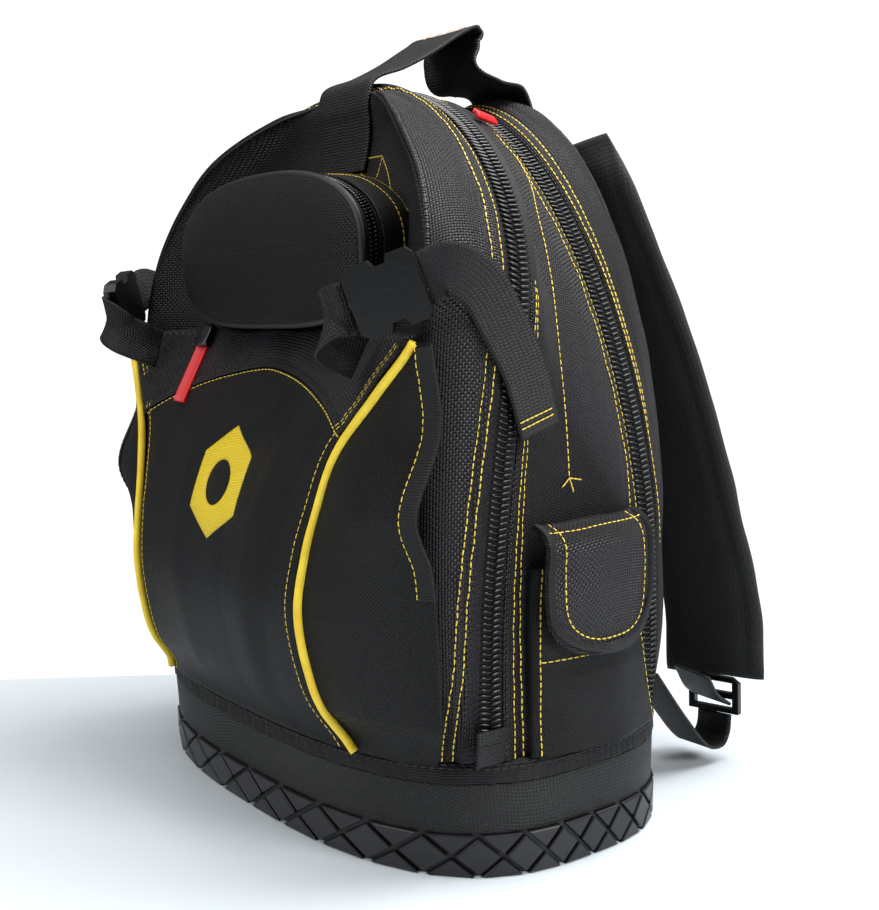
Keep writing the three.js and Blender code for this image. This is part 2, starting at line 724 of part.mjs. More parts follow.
function caseLid() {
  const start = caseRim - caseZip - 2 * gap;
  const deep = start - caseFront;
  const half = caseHeight / 2;
  const outside = lidProfile.map(({ drop, inset }) => caseRing(start - drop * deep, inset * half));
  const inside = lidProfile.map(({ drop, inset }) => {
    const y = Math.min(start, start - drop * deep + (drop > 0.3 ? clothWall : 0));
    return caseRing(y, inset * half + clothWall * (drop > 0.8 ? 0.5 : 1));
  });
  return slab([...outside, casePoint(caseFront)], [...inside, casePoint(caseFront + clothWall)], true);
}

// Handle webbing: sewn to the front face, over the crest, folded at its tip and back
// to the rear of the crest
function handle() {
  const lift = seamGap / 2 + ribbonWall;
  const x = 0.02 * baseWidth;
  const edges = [x - handleWidth / 2, x, x + handleWidth / 2];
  const onFace = (rise) => Math.min(...edges.map((edge) => shellBack(edge, rise * bodyTop)));
  const points = [
    new THREE.Vector3(x, onFace(0.885) - lift, 0.885 * bodyTop),
    new THREE.Vector3(x, onFace(0.95) - lift, 0.95 * bodyTop),
    new THREE.Vector3(x, onFace(0.98) - 1.6 * lift, 0.98 * bodyTop),
    new THREE.Vector3(x, archBack(arches.frontEdge, bodyTop, 0) - 4, bodyTop + 2.2 * lift),
    new THREE.Vector3(x, 0.1 * baseDepth, handleHeight - 21),
    new THREE.Vector3(x * 0.5, 0.23 * baseDepth, handleHeight - 7),
    new THREE.Vector3(0, 0.3 * baseDepth, handleHeight - 2),
    new THREE.Vector3(0, 0.34 * baseDepth, handleHeight - 7),
    new THREE.Vector3(0, 0.31 * baseDepth, handleHeight - 17),
    new THREE.Vector3(x * 0.5, 0.32 * baseDepth, handleHeight - 29),
    new THREE.Vector3(x, 0.4 * baseDepth, bodyTop + 2.6 * lift),
    new THREE.Vector3(x, 0.475 * baseDepth, bodyTop + 2.2 * lift),
    new THREE.Vector3(x, rearBack(x, 0.965 * bodyTop) + 1.6 * lift, 0.965 * bodyTop),
    new THREE.Vector3(x, rearBack(x, 0.92 * bodyTop) + 1.6 * lift, 0.92 * bodyTop),
  ];
  return ribbon(points, new THREE.Vector3(1, 0, 0), handleWidth, ribbonWall, 32);
}

function routePoint({ x, y, z }, side) {
  return new THREE.Vector3(side * x * halfWidth, y * baseDepth, z * bodyTop);
}

// Webbing from the lower end of a shoulder strap to the corner of the bag, with its
// free tail standing up beside the adjuster
const lowerRoute = [
  { x: 0.666, y: 0.818, z: 0.065 }, { x: 0.67, y: 0.805, z: 0.04 }, { x: 0.675, y: 0.77, z: 0.024 },
  { x: 0.68, y: 0.7, z: 0.03 }, { x: 0.69, y: 0.59, z: 0.085 }, { x: 0.69, y: 0.465, z: 0.165 },
];
const tailRoute = [
  { x: 0.672, y: 0.799, z: 0.09 }, { x: 0.7, y: 0.72, z: 0.115 }, { x: 0.72, y: 0.66, z: 0.15 },
];
const compressionRoute = [
  { x: 0.963, y: -0.12, z: 0.545 }, { x: 0.968, y: -0.17, z: 0.62 }, { x: 0.968, y: -0.24, z: 0.68 },
  { x: 0.966, y: -0.3, z: 0.722 }, { x: 0.95, y: -0.375, z: 0.74 }, { x: 0.918, y: -0.43, z: 0.73 },
];
const stubRoute = [
  { x: 0.7773, y: -0.5628, z: 0.7005 }, { x: 0.745, y: -0.5935, z: 0.6937 }, { x: 0.69, y: -0.58, z: 0.672 },
  { x: 0.66, y: -0.52, z: 0.655 }, { x: 0.66, y: -0.463, z: 0.643 },
];

function webbing(rows, side, across, steps) {
  return ribbon(rows.map((row) => routePoint(row, side)), across, webWidth, ribbonWall, steps);
}

// Width of a compression strap: flat on the side wall, then turned to its buckle
function compressionAcross(side) {
  return (share) => new THREE.Vector3(0, 0.85, 0.5).lerp(buckleAcross(side), Math.min(1, 1.2 * share));
}

function buckleAcross(side) {
  return new THREE.Vector3(0.2 * side, 0.1, 1);
}

// Flat moulded part: an outline in the plane of across and along, with its thickness
function mouldedPlate(outline, holes, thick, { centre, across, along }) {
  const shape = new THREE.Shape(outline.map(([u, v]) => new THREE.Vector2(u, v)));
  shape.holes = holes.map((hole) => new THREE.Path(hole.map(([u, v]) => new THREE.Vector2(u, v))));
  const plate = new THREE.ExtrudeGeometry(shape, { depth: thick, bevelEnabled: false });
  plate.translate(0, 0, -thick / 2);
  const up = along.clone().normalize();
  const right = across.clone().addScaledVector(up, -across.dot(up)).normalize();
  const out = right.clone().cross(up);
  return plate.applyMatrix4(new THREE.Matrix4().makeBasis(right, up, out).setPosition(centre));
}

// Side-release buckle, waisted where its two prongs show
function buckle(side) {
  const start = routePoint(compressionRoute[compressionRoute.length - 1], side);
  const end = routePoint(stubRoute[0], side);
  const along = end.clone().sub(start);
  const half = along.length() / 2 - buckleClear;
  const wide = buckleWidth / 2;
  const right = [
    [0.8, -1], [1, -0.85], [1, -0.35], [0.78, -0.25], [0.78, 0.1], [1, 0.2], [1, 0.75], [0.8, 1],
  ].map(([u, v]) => [u * wide, v * half]);
  const left = right.map(([u, v]) => [-u, v]).reverse();
  const centre = start.clone().add(end).multiplyScalar(0.5);
  return mouldedPlate([...right, ...left], [], buckleWall, { centre, across: buckleAcross(side), along });
}

// Ladder adjuster at the foot of a shoulder strap: a frame with a bar across it
function ladderLock(side) {
  const top = routePoint(strapRoute[strapRoute.length - 1], side);
  const wide = webWidth / 2 + 4;
  const tall = 11;
  const slot = (low, high) => [[-webWidth / 2, low], [webWidth / 2, low], [webWidth / 2, high], [-webWidth / 2, high]];
  const outline = [[-wide, -tall], [wide, -tall], [wide, tall - 3], [wide - 5, tall], [5 - wide, tall], [-wide, tall - 3]];
  return mouldedPlate(outline, [slot(-tall + 3, -2), slot(1.5, tall - 3)], 4, {
    centre: new THREE.Vector3(top.x, top.y, top.z - tall - seamGap),
    across: new THREE.Vector3(1, 0.25 * side, 0),
    along: new THREE.Vector3(0, 0, 1),
  });
}

// Embroidered hex nut on the middle of the front panel
function motif() {
  const sides = 6;
  const perSide = 2;
  const count = sides * perSide;
  const at = (reach, hexagonal) => Array.from({ length: count }, (_, j) => {
    const angle = (j / count) * 2 * Math.PI;
    const corner = ((angle + Math.PI / sides) % (2 * Math.PI / sides)) - Math.PI / sides;
    const length = hexagonal ? reach * Math.cos(Math.PI / sides) / Math.cos(corner) : reach;
    const x = length * Math.cos(angle);
    const z = motifHeight + length * Math.sin(angle);
    return pocketPoint(x / (0.6 * halfWidth), z).setX(x);
  });
  const base = [at(motifWidth * 0.2, false), at(motifWidth * 0.5, true)];
  const lift = (distance) => base.map((row) => row.map((p) => p.clone().add(new THREE.Vector3(0, -distance, 0))));
  return slab(lift(seamGap + motifWall), lift(seamGap), true);
}

// Padded strap with rounded long edges
function shoulderStrap(side) {
  const route = new THREE.CatmullRomCurve3(strapRoute.map((row) => routePoint(row, side)), false, 'centripetal');
  const section = [[-0.5, 0], [-0.38, 0.5], [0.38, 0.5], [0.5, 0]];
  const steps = 14;
  const rows = (sense) => Array.from({ length: steps + 1 }, (_, i) => {
    const along = route.getTangent(i / steps);
    const wide = new THREE.Vector3(1, 0.25 * side, 0);
    wide.addScaledVector(along, -wide.dot(along)).normalize();
    const face = wide.clone().cross(along).normalize();
    return section.map(([across, lift]) => route.getPoint(i / steps)
      .addScaledVector(wide, across * strapWidth)
      .addScaledVector(face, sense * lift * strapWall));
  });
  return slab(rows(1), rows(-1));
}

addPiece('base_tray', baseTray(), 'rubber');
addPiece('base_binding', baseBinding(), 'webbing');

const frontEdge = archCurve(arches.frontEdge);
const frontCorner = archCurve(arches.frontCorner);
const zipOneFront = archCurve(arches.zipOne, -zipWidth / 2);
const zipOneBack = archCurve(arches.zipOne, zipWidth / 2);
const waist = archCurve(arches.waist);
const zipTwoFront = archCurve(arches.zipTwo, -zipWidth / 2);
const middleCurves = [zipOneBack, waist, blendCurves(waist, zipTwoFront, 0.5, 3), zipTwoFront];
const zipTwoBack = archCurve(arches.zipTwo, zipWidth / 2);
const rearCorner = archCurve(arches.rearCorner);
const rearEdge = archCurve(arches.rearEdge);

const frontShell = addPiece('front_shell', cloth([
  ...faceRingsOf(arches.frontEdge, faceRings, faceBack),
  frontEdge,
  frontCorner,
  blendCurves(frontCorner, zipOneFront, 0.5, 1),
  zipOneFront,
], { last: seamDirections(arches.zipOne) }), 'weave');
const caseRear = shellBack(0, caseMiddle) - seamGap;
const caseFront = caseRear - caseDepth;
const caseRim = caseRear - 0.52 * caseDepth;
addPiece('zipper_1', zipperStrip(arches.zipOne), 'coil');
addPiece('middle_shell', cloth(middleCurves, {
  first: seamDirections(arches.zipOne),
  last: seamDirections(arches.zipTwo),
}), 'weave');
addPiece('zipper_2', zipperStrip(arches.zipTwo), 'coil');
addPiece('rear_shell', cloth([
  zipTwoBack,
  rearCorner,
  rearEdge,
  ...faceRingsOf(arches.rearEdge, rearRings, rearBack).reverse(),
], { first: seamDirections(arches.zipTwo) }), 'weave');
for (const [name, side] of [['right', 1], ['left', -1]]) {
  addPiece(`zipper_tab_${name}`, endTab(arches.zipOne, side), 'webbing');
}

addPiece('pocket_panel', cloth(pocketGrid(() => footHeight, yokeSeam, 8)), 'weave');
addPiece('pocket_yoke', pocketYoke(), 'weave');
for (const [name, side] of [['right', 1], ['left', -1]]) {
  addPiece(`pocket_gusset_${name}`, pocketGusset(side), 'weave');
  addPiece(`piping_${name}`, piping(side), 'yellow');
  addPiece(`slip_binding_${name}`, slipBinding(side), 'webbing');
  addPiece(`side_pouch_${name}`, sidePouch(middleCurves, side), 'weave');
  addPiece(`side_flap_${name}`, sideFlap(middleCurves, side), 'weave');
  addPiece(`shoulder_strap_${name}`, shoulderStrap(side), 'mesh');
}
const rightward = new THREE.Vector3(1, 0, 0);
for (const [name, side] of [['right', 1], ['left', -1]]) {
  addPiece(`strap_webbing_${name}`, webbing(lowerRoute, side, rightward, 14), 'webbing');
  addPiece(`strap_tail_${name}`, webbing(tailRoute, side, rightward, 4), 'webbing');
  addPiece(`ladder_lock_${name}`, ladderLock(side), 'buckle');
  addPiece(`compression_strap_${name}`, webbing(compressionRoute, side, compressionAcross(side), 8), 'webbing');
  addPiece(`buckle_${name}`, buckle(side), 'buckle');
  addPiece(`buckle_anchor_${name}`, webbing(stubRoute, side, buckleAcross(side), 4), 'webbing');
}
addPiece('motif', motif(), 'yellow');
addPiece('case_back', caseBack(), 'moulded');
addPiece('case_zipper', caseZipper(), 'coil');
addPiece('case_lid', caseLid(), 'moulded');
addPiece('handle', handle(), 'webbing');

export default bag;
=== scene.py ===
"""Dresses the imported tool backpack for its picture, in the frame of its solids.

The makers below work in millimetres and turn each finished mesh to metres. The soft
forms follow the same arches, rims and routes as the solids that they stand for.
"""
import logging
import math
from dataclasses import dataclass, field
from enum import Enum
from typing import Any, Callable, Sequence

import bmesh
import bpy
from mathutils import Matrix, Vector, noise
from mathutils.bvhtree import BVHTree


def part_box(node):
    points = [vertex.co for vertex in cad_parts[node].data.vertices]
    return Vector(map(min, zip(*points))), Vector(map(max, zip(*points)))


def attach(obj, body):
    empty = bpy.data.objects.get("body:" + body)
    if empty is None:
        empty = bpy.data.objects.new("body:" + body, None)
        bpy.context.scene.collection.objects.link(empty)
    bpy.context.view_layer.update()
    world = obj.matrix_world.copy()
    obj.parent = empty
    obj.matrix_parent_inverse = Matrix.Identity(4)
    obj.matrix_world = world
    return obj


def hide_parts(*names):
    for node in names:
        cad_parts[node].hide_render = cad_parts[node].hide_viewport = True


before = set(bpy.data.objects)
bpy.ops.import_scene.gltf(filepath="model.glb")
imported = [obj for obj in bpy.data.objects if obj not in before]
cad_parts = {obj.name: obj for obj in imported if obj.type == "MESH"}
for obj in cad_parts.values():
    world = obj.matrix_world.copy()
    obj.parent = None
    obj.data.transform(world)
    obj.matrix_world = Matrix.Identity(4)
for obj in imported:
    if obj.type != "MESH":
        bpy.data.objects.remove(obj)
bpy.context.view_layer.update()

LOG = logging.getLogger("tool_backpack")
MM = 0.001
UV_NAME = "millimetres"
BEFORE_FRONT = 400.0
TINY = 1e-6
WEBBING_WALL = 1.6
STRAP_WIDTH = 25.0

Rows = Sequence[tuple[float, ...]]
Place = tuple[Vector, Vector]
Tree = bpy.types.NodeTree


class Side(Enum):
    """Which half of the bag a piece is on."""

    RIGHT = 1
    LEFT = -1

    @property
    def label(self) -> str:
        """Name of the side as the solids spell it."""
        return self.name.lower()


# Small tools for numbers, curves and nodes


def linear_colour(hex_value: str) -> tuple[float, float, float, float]:
    """Turns an sRGB hex colour to linear values.

    Args:
        hex_value: six hex digits.

    Returns:
        Red, green, blue and a full alpha, linear.
    """
    parts = [int(hex_value[k:k + 2], 16) / 255 for k in (0, 2, 4)]
    linear = [c / 12.92 if c <= 0.04045 else ((c + 0.055) / 1.055) ** 2.4 for c in parts]
    return (*linear, 1.0)


def follow(rows: Rows, at: float, column: int = 1) -> float:
    """Value of a table's column at a place between its rows.

    Args:
        rows: table whose first column rises.
        at: the place, in the first column's terms.
        column: the column that is read.

    Returns:
        The value, on a smooth curve through the rows.
    """
    if at <= rows[0][0]:
        return rows[0][column]
    if at >= rows[-1][0]:
        return rows[-1][column]
    k = next(i for i, row in enumerate(rows) if row[0] > at)
    low, high = rows[k - 1], rows[k]
    step = high[0] - low[0]
    share = (at - low[0]) / step
    before = rows[max(k - 2, 0)]
    after = rows[min(k + 1, len(rows) - 1)]
    slope_low = (high[column] - before[column]) / max(high[0] - before[0], 1e-9) * step
    slope_high = (after[column] - low[column]) / max(after[0] - low[0], 1e-9) * step
    square, cube = share ** 2, share ** 3
    return (
        (2 * cube - 3 * square + 1) * low[column]
        + (cube - 2 * square + share) * slope_low
        + (3 * square - 2 * cube) * high[column]
        + (cube - square) * slope_high
    )


def through(points: Sequence[Vector], share: float) -> Vector:
    """Point of a smooth curve through points that are evenly spread over 0 to 1."""
    last = len(points) - 1
    place = min(max(share, 0.0), 1.0) * last
    k = min(int(place), last - 1)
    t = place - k
    p1, p2 = points[k], points[k + 1]
    p0 = points[k - 1] if k else p1 * 2 - p2
    p3 = points[k + 2] if k + 2 <= last else p2 * 2 - p1
    return 0.5 * (
        2 * p1 + (p2 - p0) * t + (2 * p0 - 5 * p1 + 4 * p2 - p3) * t * t
        + (3 * p1 - p0 - 3 * p2 + p3) * t ** 3
    )


def spread(points: Sequence[Vector], pitch: float) -> list[tuple[Vector, Vector]]:
    """Places and directions at an even pitch along a polyline.

    Args:
        points: the polyline, in millimetres.
        pitch: distance between two places.

    Returns:
        Pairs of a place and the unit direction there.
    """
    made = []
    carried = pitch / 2
    for a, b in zip(points, points[1:]):
        length = (b - a).length
        if length < TINY:
            continue
        along = (b - a) / length
        while carried <= length:
            made.append((a + along * carried, along))
            carried += pitch
        carried -= length
    return made


def even_route(points: Sequence[Vector], count: int = 160) -> list[Vector]:
    """Smooth curve through a few points, sampled at even distances."""
    shares = [0.0]
    for a, b in zip(points, points[1:]):
        shares.append(shares[-1] + max((b - a).length, TINY))
    knots = [s / shares[-1] for s in shares]
    axes = [[(k, p[i]) for k, p in zip(knots, points)] for i in range(3)]
    samples = 400
    dense = [Vector([follow(axis, n / samples) for axis in axes]) for n in range(samples + 1)]
    total = sum((b - a).length for a, b in zip(dense, dense[1:]))
    made = [dense[0]]
    step, carried = total / count, 0.0
    for a, b in zip(dense, dense[1:]):
        length = (b - a).length
        while carried + length >= step and length > 1e-9 and len(made) < count:
            a = a + (b - a) * ((step - carried) / length)
            length = (b - a).length
            carried = 0.0
            made.append(a.copy())
        carried += length
    return [*made, dense[-1]] if len(made) <= count else made


def bell(distance: float, width: float) -> float:
    """1 at distance 0, falling softly to 0 past the width."""
    return math.exp(-((distance / width) ** 2))


def ripple(point: Vector, scale: float, seed: float = 0.0) -> float:
    """Smooth noise of about -1 to 1 with bumps of the given size in millimetres."""
    return noise.noise(point / scale + Vector((seed, seed * 0.7, -seed)))


def run_lengths(points: Sequence[Vector]) -> list[float]:
    """Distance walked along a polyline at each of its points."""
    lengths = [0.0]
    for a, b in zip(points, points[1:]):
        lengths.append(lengths[-1] + (b - a).length)
    return lengths


def heading(route: Sequence[Vector], k: int) -> Vector:
    """Direction of a route at one of its points."""
    return (route[min(k + 1, len(route) - 1)] - route[max(k - 1, 0)]).normalized()


def axes_at(x: Vector, y: Vector, z: Vector, origin: Vector) -> Matrix:
    """Matrix that turns the axes to three directions and moves them to an origin."""
    return Matrix((
        (x.x, y.x, z.x, origin.x),
        (x.y, y.y, z.y, origin.y),
        (x.z, y.z, z.z, origin.z),
        (0, 0, 0, 1),
    ))


def add_copy(mesh: bmesh.types.BMesh, model: bpy.types.Mesh, turn: Matrix) -> None:
    """Adds a copy of a model mesh at a turned place."""
    model.transform(turn)
    mesh.from_mesh(model)
    model.transform(turn.inverted())


def from_front(tree: BVHTree, x: float, z: float) -> Vector | None:
    """First place of a surface on the way in from the front, if there is one."""
    return tree.ray_cast(Vector((x, -BEFORE_FRONT, z)), Vector((0, 1, 0)))[0]


def add_node(
    tree: Tree, kind: str, inputs: dict[Any, Any] | None = None, **settings: Any,
) -> Any:
    """Adds a shader node with its settings and links.

    Args:
        tree: the material's tree.
        kind: the node's type.
        inputs: socket name or number to a value, or to a socket that is linked in.
        **settings: properties of the node.

    Returns:
        The new node.
    """
    node = tree.nodes.new(kind)
    for name, value in settings.items():
        setattr(node, name, value)
    for name, value in (inputs or {}).items():
        if isinstance(value, bpy.types.NodeSocket):
            tree.links.new(value, node.inputs[name])
        else:
            node.inputs[name].default_value = value
    return node


def add_ramp(tree: Tree, fac: Any, stops: Sequence[tuple[float, str]]) -> Any:
    """Colour ramp through hex colours at their places, driven by a socket."""
    node = add_node(tree, "ShaderNodeValToRGB", {"Fac": fac})
    ramp = node.color_ramp
    while len(ramp.elements) < len(stops):
        ramp.elements.new(0.5)
    for element, (place, colour) in zip(ramp.elements, stops):
        element.position = place
        element.color = linear_colour(colour)
    return node.outputs["Color"]


def calculate(
    tree: Tree, operation: str, first: Any, second: Any = 0.0, third: Any = 0.0,
) -> Any:
    """Result socket of one sum on sockets or numbers."""
    node = add_node(tree, "ShaderNodeMath", {0: first, 1: second, 2: third}, operation=operation)
    return node.outputs[0]


def round_backs(tree: Tree, place: Any, yarn: float = 1.0) -> Any:
    """Height of round-backed yarns that lie side by side, each as wide as is said."""
    wave = calculate(tree, "SINE", calculate(tree, "MULTIPLY", place, math.pi / yarn))
    return calculate(tree, "ABSOLUTE", wave)


def add_cloud(tree: Tree, scale: float, detail: float = 2.0, roughness: float = 0.5) -> Any:
    """Socket of soft noise through the object, from 0 to 1."""
    place = add_node(tree, "ShaderNodeTexCoord")
    return add_node(tree, "ShaderNodeTexNoise", {
        "Vector": place.outputs["Object"], "Scale": scale, "Detail": detail, "Roughness": roughness,
    }).outputs["Fac"]


# Finishes


@dataclass(frozen=True)
class Finish:
    """A surface finish that can make its material."""

    name: str
    colour: str
    roughness: float

    def material(self) -> bpy.types.Material:
        """Makes the material, once."""
        found = bpy.data.materials.get(self.name)
        if found:
            return found
        made = bpy.data.materials.new(self.name)
        made.use_nodes = True
        tree = made.node_tree
        tree.nodes.clear()
        shader = add_node(tree, "ShaderNodeBsdfPrincipled", {"Roughness": self.roughness})
        shader.inputs["Base Color"].default_value = linear_colour(self.colour)
        add_node(tree, "ShaderNodeOutputMaterial", {"Surface": shader.outputs[0]})
        self.dress(tree, shader)
        return made

    def dress(self, tree: Tree, shader: Any) -> None:
        """Adds the finish's own nodes to the bare shader."""

    def cloth_places(self, tree: Tree) -> tuple[Any, Any]:
        """Sockets of the place on the cloth, in millimetres across and along."""
        uv = add_node(tree, "ShaderNodeUVMap", uv_map=UV_NAME)
        parts = add_node(tree, "ShaderNodeSeparateXYZ", {0: uv.outputs[0]})
        return parts.outputs[0], parts.outputs[1]

    def bump(
        self, tree: Tree, shader: Any, height: Any, depth: float, strength: float = 1.0,
    ) -> None:
        """Stands the surface out by a height socket, depth in millimetres."""
        node = add_node(tree, "ShaderNodeBump", {
            "Height": height, "Distance": depth * MM, "Strength": strength,
        })
        tree.links.new(node.outputs[0], shader.inputs["Normal"])

    def paint(self, tree: Tree, shader: Any, fac: Any, stops: Sequence[tuple[float, str]]) -> None:
        """Colours the surface by a ramp along a socket."""
        tree.links.new(add_ramp(tree, fac, stops), shader.inputs["Base Color"])

    def soften(self, shader: Any, sheen: float, roughness: float) -> None:
        """Sets the sheen of the cloth's loose fibres."""
        shader.inputs["Sheen Weight"].default_value = sheen
        shader.inputs["Sheen Roughness"].default_value = roughness


@dataclass(frozen=True)
class BallisticWeave(Finish):
    """Coated ballistic polyester: thick yarns woven over and under, a soft satin gloss
    on each yarn's back and painted shade that darkens the pits between them. The real
    yarns lie about 1 mm apart and are drawn a little coarser so that they show."""

    # painted shade: the colour that darkens the pits between the yarns
    groove: str = "050506"
    lit: str = "2a282e"
    tint: str = "b7aebd"
    yarn: float = 1.5
    depth: float = 0.5
    sheen: float = 0.1
    specular: float = 0.29
    pit_power: float = 0.3
    groove_shade_power: float = 0.8
    wear_scale: float = 22.0

    def dress(self, tree: Tree, shader: Any) -> None:
        """Woven yarns in relief, painted shade in the pits between them, and slow variation over the panel.
        """
        across, along = self.cloth_places(tree)
        u = calculate(tree, "DIVIDE", across, self.yarn)
        v = calculate(tree, "DIVIDE", along, self.yarn)
        both = add_node(tree, "ShaderNodeCombineXYZ", {0: u, 1: v})
        checker = add_node(tree, "ShaderNodeTexChecker", {
            "Vector": both.outputs[0], "Scale": 1.0, "Color1": (1, 1, 1, 1), "Color2": (0, 0, 0, 1),
        })
        warp, weft = round_backs(tree, u), round_backs(tree, v)
        height = add_node(tree, "ShaderNodeMix", {0: checker.outputs["Fac"], 2: warp, 3: weft}).outputs[0]
        crossing = calculate(tree, "POWER", calculate(tree, "MULTIPLY", warp, weft), self.pit_power)
        height = calculate(tree, "MULTIPLY", height, crossing)
        cloud = add_cloud(tree, self.wear_scale, 3.0, 0.6)
        tone = add_ramp(tree, cloud, [(0.35, self.colour), (0.68, self.lit)])
        # painted shade: the lower a place between the yarns, the nearer its colour comes to the groove colour
        colour = add_node(tree, "ShaderNodeMix", {
            0: calculate(tree, "POWER", height, self.groove_shade_power), 6: linear_colour(self.groove), 7: tone,
        }, data_type="RGBA")
        tree.links.new(colour.outputs[2], shader.inputs["Base Color"])
        shader.inputs["Specular IOR Level"].default_value = self.specular
        self.soften(shader, self.sheen, 0.35)
        shader.inputs["Sheen Tint"].default_value = linear_colour(self.tint)
        self.bump(tree, shader, height, self.depth)


@dataclass(frozen=True)
class RibbedWebbing(Finish):
    """Polypropylene webbing: hard round ribs across its length, from shuttle weaving, with
    painted shade between the ribs and painted highlight on their tops.
    """

    # lit is a painted highlight on the rib tops, pit a painted shade between the ribs
    lit: str = "17171a"
    pit: str = "030304"
    rib: float = 1.7
    cord: float = 2.4
    depth: float = 0.5
    stagger: float = 0.22

    def dress(self, tree: Tree, shader: Any) -> None:
        """Ribs that step a little from one warp cord to the next, painted darker as shade in
        their pits and lighter as highlight on their tops.
        """
        across, along = self.cloth_places(tree)
        column = calculate(tree, "DIVIDE", across, self.cord)
        odd = calculate(tree, "MODULO", calculate(tree, "FLOOR", column), 2.0)
        step = calculate(tree, "MULTIPLY", odd, self.stagger)
        row = calculate(tree, "ADD", calculate(tree, "DIVIDE", along, self.rib), step)
        rib = calculate(tree, "POWER", round_backs(tree, row), 0.7)
        cord = calculate(tree, "POWER", round_backs(tree, column), 0.2)
        height = calculate(tree, "MULTIPLY", rib, cord)
        # painted shade in the pits and painted highlight on the rib tops, following the ribs' height
        self.paint(tree, shader, height, [(0.15, self.pit), (0.6, self.colour), (1.0, self.lit)])
        shader.inputs["Specular IOR Level"].default_value = 0.3
        self.soften(shader, 0.03, 0.4)
        self.bump(tree, shader, height, self.depth)


@dataclass(frozen=True)
class SpacerMesh(Finish):
    """Spacer mesh knitted over foam: a dull surface of small round pits, painted darker as shade."""

    hollow: str = "020203"
    pit: float = 2.6
    depth: float = 0.7

    def dress(self, tree: Tree, shader: Any) -> None:
        """Round pits in nearly even rows, painted darker as shade towards their middles."""
        across, along = self.cloth_places(tree)
        u = calculate(tree, "DIVIDE", across, self.pit)
        v = calculate(tree, "DIVIDE", along, self.pit)
        both = add_node(tree, "ShaderNodeCombineXYZ", {0: u, 1: v})
        cells = add_node(tree, "ShaderNodeTexVoronoi", {
            "Vector": both.outputs[0], "Scale": 1.0, "Randomness": 0.25,
        }, feature="F1")
        height = calculate(tree, "SMOOTH_MIN", cells.outputs["Distance"], 0.42, 0.2)
        # painted shade: darker towards the middle of each pit
        self.paint(tree, shader, height, [(0.1, self.hollow), (0.4, self.colour)])
        self.soften(shader, 0.06, 0.5)
        self.bump(tree, shader, height, self.depth)


@dataclass(frozen=True)
class MouldedRubber(Finish):
    """Injection-moulded thermoplastic rubber, satin from the mould's etched steel. The
    band above the tread carries the mould's fine square grid."""

    grid: float = 1.9
    band_from: float = 22.6
    lit: str = "121214"
    depth: float = 0.45
    grain_share: float = 0.12

    def dress(self, tree: Tree, shader: Any) -> None:
        """Grid relief on the band, fine grain everywhere and soft clouds of wear."""
        place = add_node(tree, "ShaderNodeTexCoord")
        parts = add_node(tree, "ShaderNodeSeparateXYZ", {0: place.outputs["Object"]})
        waves = [
            calculate(tree, "POWER", round_backs(tree, s, self.grid), 0.6) for s in self.cloth_places(tree)
        ]
        squares = calculate(tree, "MINIMUM", *waves)
        on_band = calculate(tree, "GREATER_THAN", parts.outputs[2], self.band_from * MM)
        fine = calculate(tree, "MULTIPLY", add_cloud(tree, 900.0), self.grain_share)
        height = calculate(tree, "MULTIPLY_ADD", squares, on_band, fine)
        cloud = add_cloud(tree, 30.0, 4.0)
        self.paint(tree, shader, cloud, [(0.3, self.colour), (0.75, self.lit)])
        rough = calculate(tree, "MULTIPLY_ADD", cloud, 0.2, self.roughness - 0.1)
        tree.links.new(rough, shader.inputs["Roughness"])
        shader.inputs["Specular IOR Level"].default_value = 0.38
        self.bump(tree, shader, height, self.depth)


@dataclass(frozen=True)
class SewnThread(Finish):
    """Twisted polyester thread: bright, with a slight gloss along each stitch."""

    def dress(self, tree: Tree, shader: Any) -> None:
        """Fine twist and small changes of tone from stitch to stitch."""
        place = add_node(tree, "ShaderNodeTexCoord")
        hue = add_node(tree, "ShaderNodeHueSaturation", {
            "Value": calculate(tree, "MULTIPLY_ADD", add_cloud(tree, 160.0), 0.9, 0.55),
            "Color": linear_colour(self.colour),
        })
        tree.links.new(hue.outputs[0], shader.inputs["Base Color"])
        twist = add_node(tree, "ShaderNodeTexWave", {
            "Vector": place.outputs["Object"], "Scale": 900.0,
        }, bands_direction="DIAGONAL")
        self.bump(tree, shader, twist.outputs["Fac"], 0.15)


@dataclass(frozen=True)
class CoveredCord(Finish):
    """Piping: plain-woven cover cloth pulled tight over a cord, bright and smooth."""

    yarn: float = 0.7
    worn: str = "f0c420"

    def dress(self, tree: Tree, shader: Any) -> None:
        """Fine yarns and faint clouds of wear."""
        waves = [round_backs(tree, s, self.yarn) for s in self.cloth_places(tree)]
        height = calculate(tree, "MULTIPLY", *waves)
        self.paint(tree, shader, add_cloud(tree, 60.0), [(0.3, self.worn), (0.6, self.colour)])
        self.bump(tree, shader, height, 0.12, 0.6)


@dataclass(frozen=True)
class SatinEmbroidery(Finish):
    """Machine embroidery in satin stitch: rows of shiny thread laid side by side."""

    thread: float = 0.8
    parting_shade: str = "b98a06"

    def dress(self, tree: Tree, shader: Any) -> None:
        """Parallel threads in relief, with painted shade where they part."""
        rows = calculate(tree, "DIVIDE", self.cloth_places(tree)[1], self.thread)
        ridge = round_backs(tree, calculate(tree, "MULTIPLY_ADD", add_cloud(tree, 120.0), 0.6, rows))
        # painted shade: darker gold in the partings between the threads
        self.paint(tree, shader, ridge, [(0.0, self.parting_shade), (0.5, self.colour)])
        self.bump(tree, shader, ridge, 0.4)


